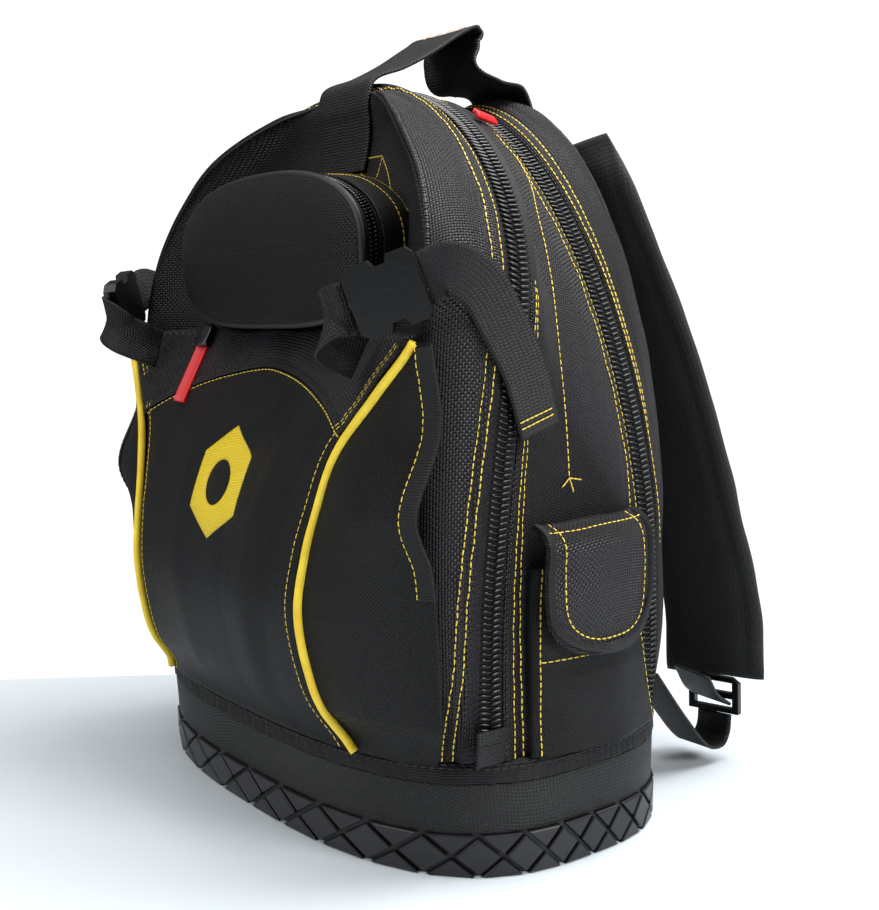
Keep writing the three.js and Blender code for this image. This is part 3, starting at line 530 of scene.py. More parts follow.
@dataclass(frozen=True)
class MouldedPlastic(Finish):
    """Moulded acetal or nylon: even colour, a low gloss and very fine grain."""

    def dress(self, tree: Tree, shader: Any) -> None:
        """Fine grain and a roughness that varies a little."""
        grain = add_cloud(tree, 500.0, 3.0)
        rough = calculate(tree, "MULTIPLY_ADD", grain, 0.16, self.roughness - 0.08)
        tree.links.new(rough, shader.inputs["Roughness"])
        self.bump(tree, shader, grain, 0.05)


@dataclass(frozen=True)
class CastMetal(Finish):
    """Die-cast zinc slider under dark lacquer."""

    def dress(self, tree: Tree, shader: Any) -> None:
        """Metal with a slightly uneven polish."""
        shader.inputs["Metallic"].default_value = 1.0
        rough = calculate(tree, "MULTIPLY_ADD", add_cloud(tree, 300.0), 0.2, self.roughness - 0.1)
        tree.links.new(rough, shader.inputs["Roughness"])


@dataclass(frozen=True)
class StudioPaper(Finish):
    """Seamless studio board, nearly white with a faint gloss."""

    lit: str = "e6eef3"

    def dress(self, tree: Tree, shader: Any) -> None:
        """A very slow change of tone."""
        self.paint(tree, shader, add_cloud(tree, 0.8), [(0.3, self.colour), (0.8, self.lit)])


WEAVE = BallisticWeave("coated_ballistic_weave", "08070a", 0.35, lit="121115")
YOKE_WEAVE = BallisticWeave(
    "coated_ballistic_weave_coarse", "0c0b0e", 0.34, lit="1e1c22", yarn=1.9, depth=0.7)
PANEL_WEAVE = BallisticWeave(
    "fine_polyester_panel", "040406", 0.44, lit="08080a", yarn=1.1, depth=0.25, sheen=0.02, specular=0.22)
CASE_WEAVE = BallisticWeave(
    "laminated_polyester_on_foam", "050506", 0.42, lit="0a0a0c", yarn=1.3, depth=0.3, sheen=0.02,
    specular=0.24)
WEBBING = RibbedWebbing("polypropylene_webbing", "0a0a0c", 0.5)
BINDING = RibbedWebbing("grosgrain_binding", "070709", 0.6, lit="0f0f12", rib=1.4, cord=9.0)
TAPE = RibbedWebbing("woven_zipper_tape", "060607", 0.6, lit="0c0c0e", rib=0.9, cord=1.2, depth=0.2)
COIL = MouldedPlastic("nylon_zipper_coil", "060607", 0.22)
RIM = MouldedPlastic("moulded_foam_rim", "0b0b0c", 0.5)
ACETAL = MouldedPlastic("moulded_acetal", "060607", 0.34)
RUBBER = MouldedRubber("moulded_tray_rubber", "0a0a0b", 0.5)
TREAD = MouldedRubber("moulded_tread_rubber", "161618", 0.4, band_from=500, lit="232327")
MESH = SpacerMesh("spacer_mesh", "060607", 0.8)
YELLOW_THREAD = SewnThread("yellow_sewing_thread", "f2d24a", 0.5)
GOLD_THREAD = SewnThread("gold_bartack_thread", "c98a1c", 0.45)
BLACK_THREAD = SewnThread("black_sewing_thread", "0a0a0c", 0.4)
PIPING = CoveredCord("yellow_covered_cord", "ffe13a", 0.5)
EMBROIDERY = SatinEmbroidery("yellow_satin_stitch", "ffdf24", 0.45)
RED = MouldedPlastic("red_moulded_pull", "d8141c", 0.42)
STEEL = CastMetal("dark_cast_slider", "4a4a50", 0.3)
BOARD = StudioPaper("studio_board", "dde6ec", 0.2)


# The bag's form, as its solids have it


@dataclass(frozen=True)
class Arch:
    """One arch of the body, from its right foot over the crest to its left foot."""

    side: float
    shoulder: float
    crest: float
    power: float
    lean: Rows


@dataclass
class BagForm:
    """Sizes and curves that all the pieces share, in millimetres."""

    base_width: float = 350
    base_depth: float = 191
    front_bulge: float = 5.6
    corner_power: float = 2.84
    tread_height: float = 22
    tread_count: int = 32
    tray_height: float = 48
    tray_flare: float = 0.014
    body_top: float = 398
    tuck_height: float = 52
    cloth_wall: float = 2
    gap: float = 0.3
    foot_height: float = 58.6
    pocket_top: float = 262
    pocket_reach: float = 1.035
    pocket_tuck: float = 24
    yoke_low: float = 218
    yoke_high: float = 248
    arches: dict[str, Arch] = field(default_factory=lambda: {
        "front_edge": Arch(0.874, 0.69, 1, 2, (
            (0.15, -0.471), (0.39, -0.461), (0.66, -0.419), (0.78, -0.377), (0.867, -0.325),
            (0.93, -0.272), (0.98, -0.168), (1, -0.084))),
        "front_corner": Arch(0.92, 0.68, 1.004, 1.95, (
            (0.15, -0.43), (0.39, -0.42), (0.66, -0.372), (0.78, -0.325), (0.867, -0.268),
            (0.93, -0.215), (0.98, -0.13), (1, -0.064))),
        "zip_one": Arch(0.94, 0.666, 1, 1.92, (
            (0.15, -0.298), (0.327, -0.278), (0.467, -0.241), (0.56, -0.209), (0.69, -0.16),
            (0.874, -0.079), (1, -0.01))),
        "waist": Arch(0.915, 0.54, 0.996, 1.88, (
            (0.15, 0.03), (0.462, 0.04), (0.64, 0.02), (0.82, 0.03), (1, 0.14))),
        "zip_two": Arch(0.895, 0.377, 0.985, 1.75, ((0.15, 0.314), (1, 0.3))),
        "rear_corner": Arch(0.835, 0.45, 1.003, 1.9, ((0.15, 0.43), (1, 0.42))),
        "rear_edge": Arch(0.75, 0.5, 1.005, 2, ((0.15, 0.468), (1, 0.474))),
    })
    face_dent: Rows = (
        (0.15, 0), (0.5, 0), (0.6, 0.09), (0.7, 0.17), (0.78, 0.165), (0.867, 0.18), (0.93, 0.16),
        (0.967, 0.09), (1, 0),
    )
    # rise, then the piping's place across, its reach and the middle's reach
    pocket_rows: Rows = (
        (0.147, 0.589, -0.505, -0.53), (0.188, 0.56, -0.56, -0.576), (0.239, 0.543, -0.602, -0.613),
        (0.327, 0.531, -0.628, -0.644), (0.402, 0.549, -0.607, -0.623), (0.452, 0.571, -0.581, -0.592),
        (0.528, 0.63, -0.545, -0.518), (0.603, 0.771, -0.497, -0.42), (0.66, 0.886, -0.462, -0.33),
        (0.7, 0.9, -0.45, -0.28),
    )
    gusset_edge: Rows = (
        (0.147, 0.951, -0.45), (0.39, 0.951, -0.461), (0.46, 0.954, -0.505), (0.558, 0.954, -0.424),
        (0.66, 0.951, -0.44),
    )

    @property
    def half_width(self) -> float:
        """Half the base's width."""
        return self.base_width / 2

    def outline_depth(self, y: float) -> float:
        """Half depth of the base, a little more at its bulged front."""
        return self.base_depth / 2 + (self.front_bulge if y < 0 else 0)

    def outline_share(self, x: float, y: float) -> float:
        """How far out a place is, 1 on the base's outline."""
        wide = (abs(x) / self.half_width) ** self.corner_power
        deep = (abs(y) / self.outline_depth(y)) ** self.corner_power
        return (wide + deep) ** (1 / self.corner_power)

    def outline_point(self, angle: float, z: float, inset: float = 0.0) -> Vector:
        """Point on the base's outline at an angle and a height."""
        scale = 1 - self.tray_flare * max(0.0, 1 - z / self.tray_height)
        x, y = math.cos(angle), math.sin(angle)
        flat = Vector((x * self.half_width, y * self.outline_depth(y), 0))
        flat *= scale / self.outline_share(flat.x, flat.y)
        flat *= (flat.length - inset) / flat.length
        return Vector((flat.x, flat.y, z))

    def tuck(self, point: Vector, reach: float = 1.0, height: float | None = None) -> Vector:
        """Draws a point to the base's outline as it comes down to the rim."""
        share = (point.z - self.foot_height + self.gap) / (height or self.tuck_height)
        if share >= 1:
            return point
        pull = (1 - max(0.0, share)) ** 1.5
        scale = 1 + pull * (reach / self.outline_share(point.x, point.y) - 1)
        return Vector((point.x * scale, point.y * scale, point.z))

    def arch_half(self, arch: Arch, z: float) -> float:
        """Half width of an arch at a height."""
        low, high = arch.shoulder * self.body_top, arch.crest * self.body_top
        if z <= low:
            return arch.side * self.half_width
        rise = min(1.0, (z - low) / (high - low))
        return arch.side * self.half_width * (1 - rise ** arch.power) ** (1 / arch.power)

    def arch_back(self, arch: Arch, z: float) -> float:
        """Place of an arch from front to back at a height."""
        return follow(arch.lean, z / self.body_top) * self.base_depth

    def arch_point(self, arch: Arch, t: float, shift: float = 0.0) -> Vector:
        """Point of an arch, t from 0 at the right foot to 1 at the left one."""
        low, high = arch.shoulder * self.body_top, arch.crest * self.body_top
        side = arch.side * self.half_width
        s = 1 - abs(1 - 2 * t)
        if s <= 0.5:
            x, z = side, self.foot_height + 2 * s * (low - self.foot_height)
        else:
            angle = (2 * s - 1) * math.pi / 2
            x = side * max(0.0, math.cos(angle)) ** (2 / arch.power)
            z = low + (high - low) * math.sin(angle) ** (2 / arch.power)
        point = Vector((x if t <= 0.5 else -x, self.arch_back(arch, z) + shift, z))
        return self.tuck(point)

    def face_back(self, x: float, z: float) -> float:
        """Depth of the front face, which sinks in at its middle."""
        edge = self.arches["front_edge"]
        half = max(1.0, self.arch_half(edge, z))
        inward = 1 - min(1.0, abs(x) / half) ** 3.5
        return self.arch_back(edge, z) + inward * follow(self.face_dent, z / self.body_top) * self.base_depth

    def rear_back(self, x: float, z: float) -> float:
        """Depth of the back panel, slightly crowned."""
        return self.arch_back(self.arches["rear_edge"], z) + 3 * (1 - (x / self.half_width) ** 2)

    def route(self, rows: Rows, side: Side = Side.RIGHT) -> list[Vector]:
        """Route points from shares of the base width, depth and body top."""
        return [
            Vector((side.value * x * self.half_width, y * self.base_depth, z * self.body_top))
            for x, y, z in rows
        ]


# Cloth, thread and webbing makers


@dataclass
class Spot:
    """A place on a sheet of cloth, with its distances in millimetres from the edges."""

    u: float
    v: float
    start: float
    end: float
    first: float
    last: float
    point: Vector


class Cloth:
    """A sheet that starts as a flat grid and is laid over a curved form."""

    def __init__(
        self, name: str, place: Callable[[float, float], Vector], columns: int, rows: int,
        inside: Vector, closed: bool = False, poles: tuple[bool, bool] = (False, False), planar: bool = False,
    ) -> None:
        """Lays the sheet.

        Args:
            name: the piece's name.
            place: point of the form at u across and v along, both 0 to 1, in millimetres.
            columns: cells across.
            rows: cells along.
            inside: a point behind the sheet, which its outer side faces away from.
            closed: whether the sheet closes on itself across.
            poles: whether the first and the last row shrink to a point.
            planar: whether the weave is straight in the front view.
        """
        self.name = name
        self.columns = columns
        self.rows = rows
        self.mesh = bmesh.new()
        bmesh.ops.create_grid(self.mesh, x_segments=columns, y_segments=rows, size=1.0)
        order = sorted(self.mesh.verts, key=lambda v: (round(v.co.y, 5), round(v.co.x, 5)))
        width = columns + 1
        self.grid = [order[i * width:(i + 1) * width] for i in range(rows + 1)]
        for i, row in enumerate(self.grid):
            for j, vert in enumerate(row):
                vert.co = place(j / columns, i / rows)
        self.measure()
        self.lay_weave(planar)
        self.close(closed, poles)
        self.face_out(inside)

    def measure(self) -> None:
        """Measures each place's distance along its row and its column."""
        self.across = [[0.0] for _ in self.grid]
        for i, row in enumerate(self.grid):
            for a, b in zip(row, row[1:]):
                self.across[i].append(self.across[i][-1] + (b.co - a.co).length)
        self.along = [[0.0] * (self.columns + 1)]
        for low, high in zip(self.grid, self.grid[1:]):
            self.along.append([s + (b.co - a.co).length for s, a, b in zip(self.along[-1], low, high)])

    def lay_weave(self, planar: bool) -> None:
        """Writes the cloth's own millimetres, measured from the middle of each row."""
        layer = self.mesh.loops.layers.uv.new(UV_NAME)
        index = {vert: (i, j) for i, row in enumerate(self.grid) for j, vert in enumerate(row)}
        half = self.columns // 2
        for face in self.mesh.faces:
            for loop in face.loops:
                i, j = index[loop.vert]
                if planar:
                    loop[layer].uv = (loop.vert.co.x, loop.vert.co.z)
                else:
                    loop[layer].uv = (self.across[i][j] - self.across[i][half], self.along[i][j])

    def close(self, closed: bool, poles: tuple[bool, bool]) -> None:
        """Joins the two sides of a closed sheet and the points of its poles."""
        joined = {}
        if closed:
            for row in self.grid:
                joined[row[-1]] = row[0]
                row[-1] = row[0]
        for number, shrinks in zip((0, -1), poles):
            if shrinks:
                row = self.grid[number]
                joined.update({vert: row[0] for vert in row if vert is not row[0]})
                self.grid[number] = [row[0]] * len(row)
        if joined:
            for vert in list(joined):
                while joined[vert] in joined:
                    joined[vert] = joined[joined[vert]]
            bmesh.ops.weld_verts(self.mesh, targetmap=joined)

    def face_out(self, inside: Vector) -> None:
        """Turns the faces away from the inside."""
        self.mesh.normal_update()
        sense = sum(
            face.normal.dot(face.calc_center_median() - inside) * face.calc_area()
            for face in self.mesh.faces
        )
        if sense < 0:
            bmesh.ops.reverse_faces(self.mesh, faces=self.mesh.faces[:])
        self.mesh.normal_update()

    def relief(self, height: Callable[[Spot], float]) -> None:
        """Raises each place along its normal by a height in millimetres."""
        self.mesh.normal_update()
        moves = {}
        for i, row in enumerate(self.grid):
            for j, vert in enumerate(row):
                spot = Spot(
                    j / self.columns, i / self.rows, self.across[i][j],
                    self.across[i][-1] - self.across[i][j], self.along[i][j],
                    self.along[-1][j] - self.along[i][j], vert.co,
                )
                moves[vert] = vert.normal * height(spot)
        for vert, move in moves.items():
            vert.co += move
        self.mesh.normal_update()

    def smooth(self, times: int) -> None:
        """Softens the sheet, its edges left in place."""
        verts = [v for v in self.mesh.verts if not v.is_boundary]
        for _ in range(times):
            bmesh.ops.smooth_vert(
                self.mesh, verts=verts, factor=0.5, use_axis_x=True, use_axis_y=True, use_axis_z=True)
        self.mesh.normal_update()

    def cap_ends(self) -> None:
        """Closes both ends of a tube."""
        bmesh.ops.recalc_face_normals(self.mesh, faces=self.mesh.faces[:])
        for end in (self.grid[0], self.grid[-1]):
            bmesh.ops.contextual_create(self.mesh, geom=list(dict.fromkeys(end)))

    def finished(
        self, finish: Finish, slot: str, replaces: Sequence[str] = (), wall: float = 0.0,
    ) -> bpy.types.Object:
        """Makes the sheet, as it now is, into its piece."""
        return finish_piece(self.name, self.mesh.copy(), finish, replaces, wall)

    def at(self, u: float, v: float) -> Place:
        """Point and normal of the sheet between its grid's places."""
        x, y = min(max(u, 0), 1) * self.columns, min(max(v, 0), 1) * self.rows
        j, i = min(int(x), self.columns - 1), min(int(y), self.rows - 1)
        s, t = x - j, y - i
        a, b = self.grid[i][j], self.grid[i][j + 1]
        c, d = self.grid[i + 1][j], self.grid[i + 1][j + 1]
        point = a.co.lerp(b.co, s).lerp(c.co.lerp(d.co, s), t)
        normal = a.normal.lerp(b.normal, s).lerp(c.normal.lerp(d.normal, s), t)
        return point, normal.normalized()

    def tree(self) -> BVHTree:
        """Search tree of the sheet as it now is."""
        return BVHTree.FromBMesh(self.mesh)

    def line(self, start: tuple[float, float], end: tuple[float, float], steps: int) -> list[Place]:
        """Straight line over the sheet from one place in u and v to another."""
        reach = (end[0] - start[0], end[1] - start[1])
        return [
            self.at(start[0] + reach[0] * k / steps, start[1] + reach[1] * k / steps)
            for k in range(steps + 1)
        ]

    def line_from(self, distance: Callable[[float], float], from_last: bool, count: int) -> list[Place]:
        """Line at a distance in millimetres from the sheet's first or last row.

        Args:
            distance: distance at each u.
            from_last: whether it is measured from the last row.
            count: number of steps.

        Returns:
            Points and normals of the line.
        """
        made = []
        for k in range(count + 1):
            u = k / count
            column = round(u * self.columns)
            total = self.along[-1][column]
            goal = total - distance(u) if from_last else distance(u)
            i = next((n for n in range(1, self.rows + 1) if self.along[n][column] >= goal), self.rows)
            low, high = self.along[i - 1][column], self.along[i][column]
            share = (goal - low) / max(high - low, TINY)
            made.append(self.at(u, (i - 1 + share) / self.rows))
        return made


class Thread:
    """Stitches of one thread, gathered into one piece."""

    def __init__(self, name: str, finish: Finish, long: float = 2.8, thick: float = 0.36) -> None:
        """Makes the model stitch, a small rounded bar that rises in its middle."""
        self.name = name
        self.finish = finish
        self.mesh = bmesh.new()
        stitch = bmesh.new()
        bmesh.ops.create_grid(stitch, x_segments=5, y_segments=3, size=1.0)
        for vert in stitch.verts:
            x, y = vert.co.x, vert.co.y
            end = math.sqrt(max(0.0, 1 - (abs(x) ** 3)))
            rise = 1.1 * end * (1 - 0.5 * y * y) - 0.25
            vert.co = Vector((x * long / 2, y * thick * (0.45 + 0.55 * end), thick * rise))
        self.model = bpy.data.meshes.new(name + "_model")
        stitch.to_mesh(self.model)
        stitch.free()
        self.count = 0

    def stitch(self, point: Vector, along: Vector, normal: Vector) -> None:
        """Adds one stitch at a place of the cloth."""
        across = normal.cross(along)
        if across.length < TINY:
            return
        across.normalize()
        add_copy(self.mesh, self.model, axes_at(across.cross(normal).normalized(), across, normal, point))
        self.count += 1

    def line(self, places: Sequence[Place], pitch: float = 3.7, lift: float = 0.25) -> None:
        """Sews a line through points that come with their normals."""
        points = [p for p, _ in places]
        normals = [n for _, n in places]
        lengths = run_lengths(points)
        walked = pitch / 2
        for point, along in spread(points, pitch):
            ahead = next((i for i, s in enumerate(lengths) if s > walked), 1)
            k = min(len(points) - 2, max(0, ahead - 1))
            normal = normals[k].lerp(normals[k + 1], 0.5).normalized()
            sway = 0.06 * math.sin(walked * 2.3)
            self.stitch(point + normal * lift, along + normal.cross(along) * sway, normal)
            walked += pitch

    def finished(self) -> bpy.types.Object:
        """The gathered stitches as one piece."""
        bpy.data.meshes.remove(self.model)
        return finish_piece(self.name, self.mesh, self.finish)


def finish_piece(
    name: str, mesh: bmesh.types.BMesh, finish: Finish,
    replaces: Sequence[str] = (), wall: float = 0.0, smooth: bool = True,
) -> bpy.types.Object:
    """Turns a mesh in millimetres to a finished piece of the bag.

    Args:
        name: the piece's name.
        mesh: its mesh, which is used up.
        finish: its finish.
        replaces: the solids that it stands for.
        wall: thickness that is added inwards.
        smooth: whether it is shaded smooth.

    Returns:
        The piece.
    """
    bmesh.ops.scale(mesh, vec=(MM, MM, MM), verts=mesh.verts)
    data = bpy.data.meshes.new(name)
    mesh.to_mesh(data)
    mesh.free()
    data.polygons.foreach_set("use_smooth", [smooth] * len(data.polygons))
    piece = bpy.data.objects.new(name, data)
    bpy.context.scene.collection.objects.link(piece)
    data.materials.append(finish.material())
    if wall:
        thick = piece.modifiers.new("wall", "SOLIDIFY")
        thick.thickness = wall * MM
        thick.offset = -1
    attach(piece, "root")
    if replaces:
        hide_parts(*replaces)
    LOG.info("%s: %d faces", name, len(data.polygons))
    return piece


@dataclass
class Band:
    """A flat band along a smooth route, as webbing, binding or padding."""

    name: str
    points: Sequence[Vector]
    across: Callable[[float], Vector]
    width: float
    inside: Vector
    rows: int = 90
    columns: int = 8
    crown: float = 0.0

    def cloth(self) -> Cloth:
        """Lays the band as a sheet of cloth."""
        route = even_route(self.points, self.rows)

        def place(u: float, v: float) -> Vector:
            """Point of the band."""
            k = min(round(v * self.rows), len(route) - 1)
            along = heading(route, k)
            wide = self.across(v)
            wide = (wide - along * wide.dot(along)).normalized()
            face = wide.cross(along)
            side = 2 * u - 1
            return route[k] + wide * (side * self.width / 2) + face * (self.crown * (1 - side * side))

        return Cloth(self.name, place, self.columns, self.rows, self.inside)


@dataclass
class Camera:
    """The photograph's camera, fitted to the regular pattern of the tread."""

    place: Vector = field(default_factory=lambda: Vector((639.03, -427.79, 283)))
    heading: float = 53.8
    pitch: float = 7.0
    roll: float = -2.0
    focal: float = 1300
    picture: tuple[int, int] = (879, 910)
    sensor: float = 36

    def axes(self) -> tuple[Vector, Vector, Vector]:
        """Directions to the right, up and forward of the view."""
        y, p, r = (math.radians(a) for a in (self.heading, self.pitch, self.roll))
        forward = Vector((-math.sin(y) * math.cos(p), math.cos(y) * math.cos(p), -math.sin(p)))
        level = Vector((math.cos(y), math.sin(y), 0))
        upright = level.cross(forward)
        right = level * math.cos(r) + upright * math.sin(r)
        up = upright * math.cos(r) - level * math.sin(r)
        return right, up, forward

    def ray(self, x: float, y: float) -> Vector:
        """Direction of the view through a place of the photograph."""
        right, up, forward = self.axes()
        beside, below = x - self.picture[0] / 2, y - self.picture[1] / 2
        return (forward + right * (beside / self.focal) - up * (below / self.focal)).normalized()

    def trace(self, pixels: Rows, *trees: BVHTree) -> list[Place]:
        """Lays a line that the photograph shows on the surfaces that carry it.

        Args:
            pixels: places of the photograph along the line.
            *trees: search trees of the surfaces.

        Returns:
            Points and outward normals along the line.
        """
        rows = [(k / (len(pixels) - 1), x, y) for k, (x, y) in enumerate(pixels)]
        steps = 120
        made = []
        for n in range(steps + 1):
            ray = self.ray(follow(rows, n / steps, 1), follow(rows, n / steps, 2))
            hits = [tree.ray_cast(self.place, ray) for tree in trees]
            found = [hit for hit in hits if hit[0]]
            if found:
                point, normal, _, _ = min(found, key=lambda hit: hit[3])
                made.append((point, normal if normal.dot(ray) < 0 else -normal))
        return made

    def make(self) -> None:
        """Makes the scene's camera."""
        data = bpy.data.cameras.new("camera")
        data.sensor_fit = "AUTO"
        data.sensor_width = self.sensor
        data.lens = self.sensor * self.focal / max(self.picture)
        data.clip_start, data.clip_end = 0.01, 50
        camera = bpy.data.objects.new("camera", data)
        right, up, forward = self.axes()
        camera.matrix_world = axes_at(right, up, -forward, self.place * MM)
        bpy.context.scene.collection.objects.link(camera)
        bpy.context.scene.camera = camera


@dataclass
class Bench:
    """What every maker shares: the form, the camera, the threads and laid cloths."""

    form: BagForm = field(default_factory=BagForm)
    camera: Camera = field(default_factory=Camera)
    middle: Vector = field(default_factory=lambda: Vector((0, 0, 199)))
    yellow: Thread = field(default_factory=lambda: Thread("yellow_stitching", YELLOW_THREAD))
    gold: Thread = field(default_factory=lambda: Thread("gold_bartacks", GOLD_THREAD, 2.4, 0.5))
    black: Thread = field(default_factory=lambda: Thread("black_stitching", BLACK_THREAD, 3.4, 0.6))
    cloths: dict[str, Cloth] = field(default_factory=dict)

    def keep(self, cloth: Cloth) -> None:
        """Keeps a laid cloth for those that lie on it."""
        self.cloths[cloth.name] = cloth

    def both_sides(self, places: Sequence[Place]) -> None:
        """Sews a yellow line on the right and its mirror image on the left."""
        self.yellow.line(places)
        self.yellow.line([(mirrored(p), mirrored(n)) for p, n in places])


def mirrored(vector: Vector) -> Vector:
    """The same place or direction on the bag's other side."""
    return Vector((-vector.x, vector.y, vector.z))


# Sub-assemblies


@dataclass
class BaseTray:
    """Moulded tray with a gridded band, a raised tread and a bound top edge."""

    bench: Bench
    block_height: float = 2.3
    block_width: float = 17.2
    groove: float = 2.1
    bevel: float = 0.9
    sunk: float = 0.6

    def build(self) -> None:
        """Builds the tray, its tread and its binding."""
        self.wall()
        self.tread()
        self.binding()

    def wall(self) -> None:
        """Tray wall and floor as one closed skin."""
        form = self.bench.form
        # inset and height, from the middle of the underside out, up, over the edge and in
        profile = [
            (1.0, 0.0), (0.5, 0.0), (3.0, 0.0), (1.2, 0.3), (0.3, 1.2), (0.0, 3.0), (0.0, 12.0), (0.0, 20.5),
            (0.0, 22.0), (-0.5, 22.8), (-0.6, 24.0), (-0.6, 35.0), (-0.6, 46.8), (-0.3, 47.7), (0.6, 48.0),
            (3.4, 48.0), (4.0, 47.5), (4.0, 9.0), (8.0, 4.0), (0.5, 4.0), (1.0, 4.0),
        ]
        last = len(profile) - 1
        floor_inset = 50

        def place(u: float, v: float) -> Vector:
            """Point of the tray's skin."""
            k = round(v * last)
            inset, z = profile[k]
            angle = 2 * math.pi * u
            if k in (0, last):
                return Vector((0, 0, z))
            if k in (1, last - 1):
                return form.outline_point(angle, z, floor_inset)
            return form.outline_point(angle, z, inset)

        skin = Cloth("base_tray_skin", place, 256, last, Vector((0, 0, 24)), True, (True, True))
        skin.finished(RUBBER, "rubber", ["base_tray"])

    def tread(self) -> None:
        """Diamonds between two rows of triangles, bevelled, around the foot."""
        form = self.bench.form
        wide = 0.5 - self.groove / (form.base_width * math.pi / form.tread_count)
        low, high = 0.3, form.tread_height - 0.2
        half, rise = (low + high) / 2, self.groove * 0.66
        shapes = []
        for turn in range(form.tread_count):
            side = turn + 0.5
            shapes += [
                [(turn - wide, half), (turn, low + rise), (turn + wide, half), (turn, high - rise)],
                [(side - wide, high), (side, half + rise), (side + wide, high)],
                [(side - wide, low), (side + wide, low), (side, half - rise)],
            ]
        # a block is bevelled while it lies flat, a hundred units wide and twenty high
        flat_width, flat_height, flat_bevel = 100, 20, 5
        gathered = bmesh.new()
        for corners in shapes:
            block = bmesh.new()
            made = bmesh.ops.create_circle(block, cap_ends=True, segments=len(corners), radius=1.0)
            for vert, (turn, z) in zip(made["verts"], corners):
                vert.co = Vector((turn * flat_width, z * flat_width / self.block_width, 0))
            raised = bmesh.ops.extrude_face_region(block, geom=block.faces[:])
            tops = [v for v in raised["geom"] if isinstance(v, bmesh.types.BMVert)]
            bmesh.ops.translate(block, vec=(0, 0, flat_height), verts=tops)
            bmesh.ops.recalc_face_normals(block, faces=block.faces[:])
            edges = [e for e in block.edges if any(v in tops for v in e.verts)]
            bmesh.ops.bevel(
                block, geom=edges, offset=self.bevel * flat_bevel, segments=2, profile=0.5,
                affect="EDGES", material=-1)
            for vert in block.verts:
                turn, lift = vert.co.x / flat_width, vert.co.z / flat_height
                z = vert.co.y * self.block_width / flat_width
                angle = turn / form.tread_count * 2 * math.pi
                bulge = 0.5 * (1 - abs(2 * (z - half) / (high - low)) ** 2)
                raised_by = lift * (self.block_height + self.sunk + bulge)
                vert.co = form.outline_point(angle, z, self.sunk - raised_by)
            bmesh.ops.recalc_face_normals(block, faces=block.faces[:])
            model = bpy.data.meshes.new("block")
            block.to_mesh(model)
            block.free()
            gathered.from_mesh(model)
            bpy.data.meshes.remove(model)
        finish_piece("tread_blocks", gathered, TREAD, smooth=False)

    def binding(self) -> None:
        """Rough bound edge: grosgrain folded over the body's hem and sewn twice."""
        form = self.bench.form

        def place(u: float, v: float) -> Vector:
            """Point of the folded binding, outside, over the top and inside."""
            angle = 2 * math.pi * u
            turn = math.pi * v
            z = 48.3 + 10.2 * math.sin(turn) ** 0.35
            inset = 1.6 - 2.6 * math.cos(turn)
            return form.outline_point(angle, z, inset)

        cloth = Cloth("base_binding_tape", place, 420, 22, Vector((0, 0, 52)), True)

        def rough(spot: Spot) -> float:
            """Puckers between the stitches, and thicker lumps here and there."""
            pucker = 0.35 * math.sin(spot.start * 2 * math.pi / 4.2 + 2 * ripple(spot.point, 30))
            return pucker + 0.8 * ripple(spot.point, 14) + 0.5 * ripple(spot.point, 5, 3)

        cloth.relief(rough)
        steps = cloth.columns
        for share in (0.13, 0.27):
            line = []
            for k in range(steps + 1):
                wander = 0.03 * noise.noise(Vector((k / 9, share * 50, 0)))
                line.append(cloth.at((k % steps) / steps, share + wander))
            self.bench.black.line(line, 4.6, 0.2)
        cloth.finished(BINDING, "webbing", ["base_binding"])


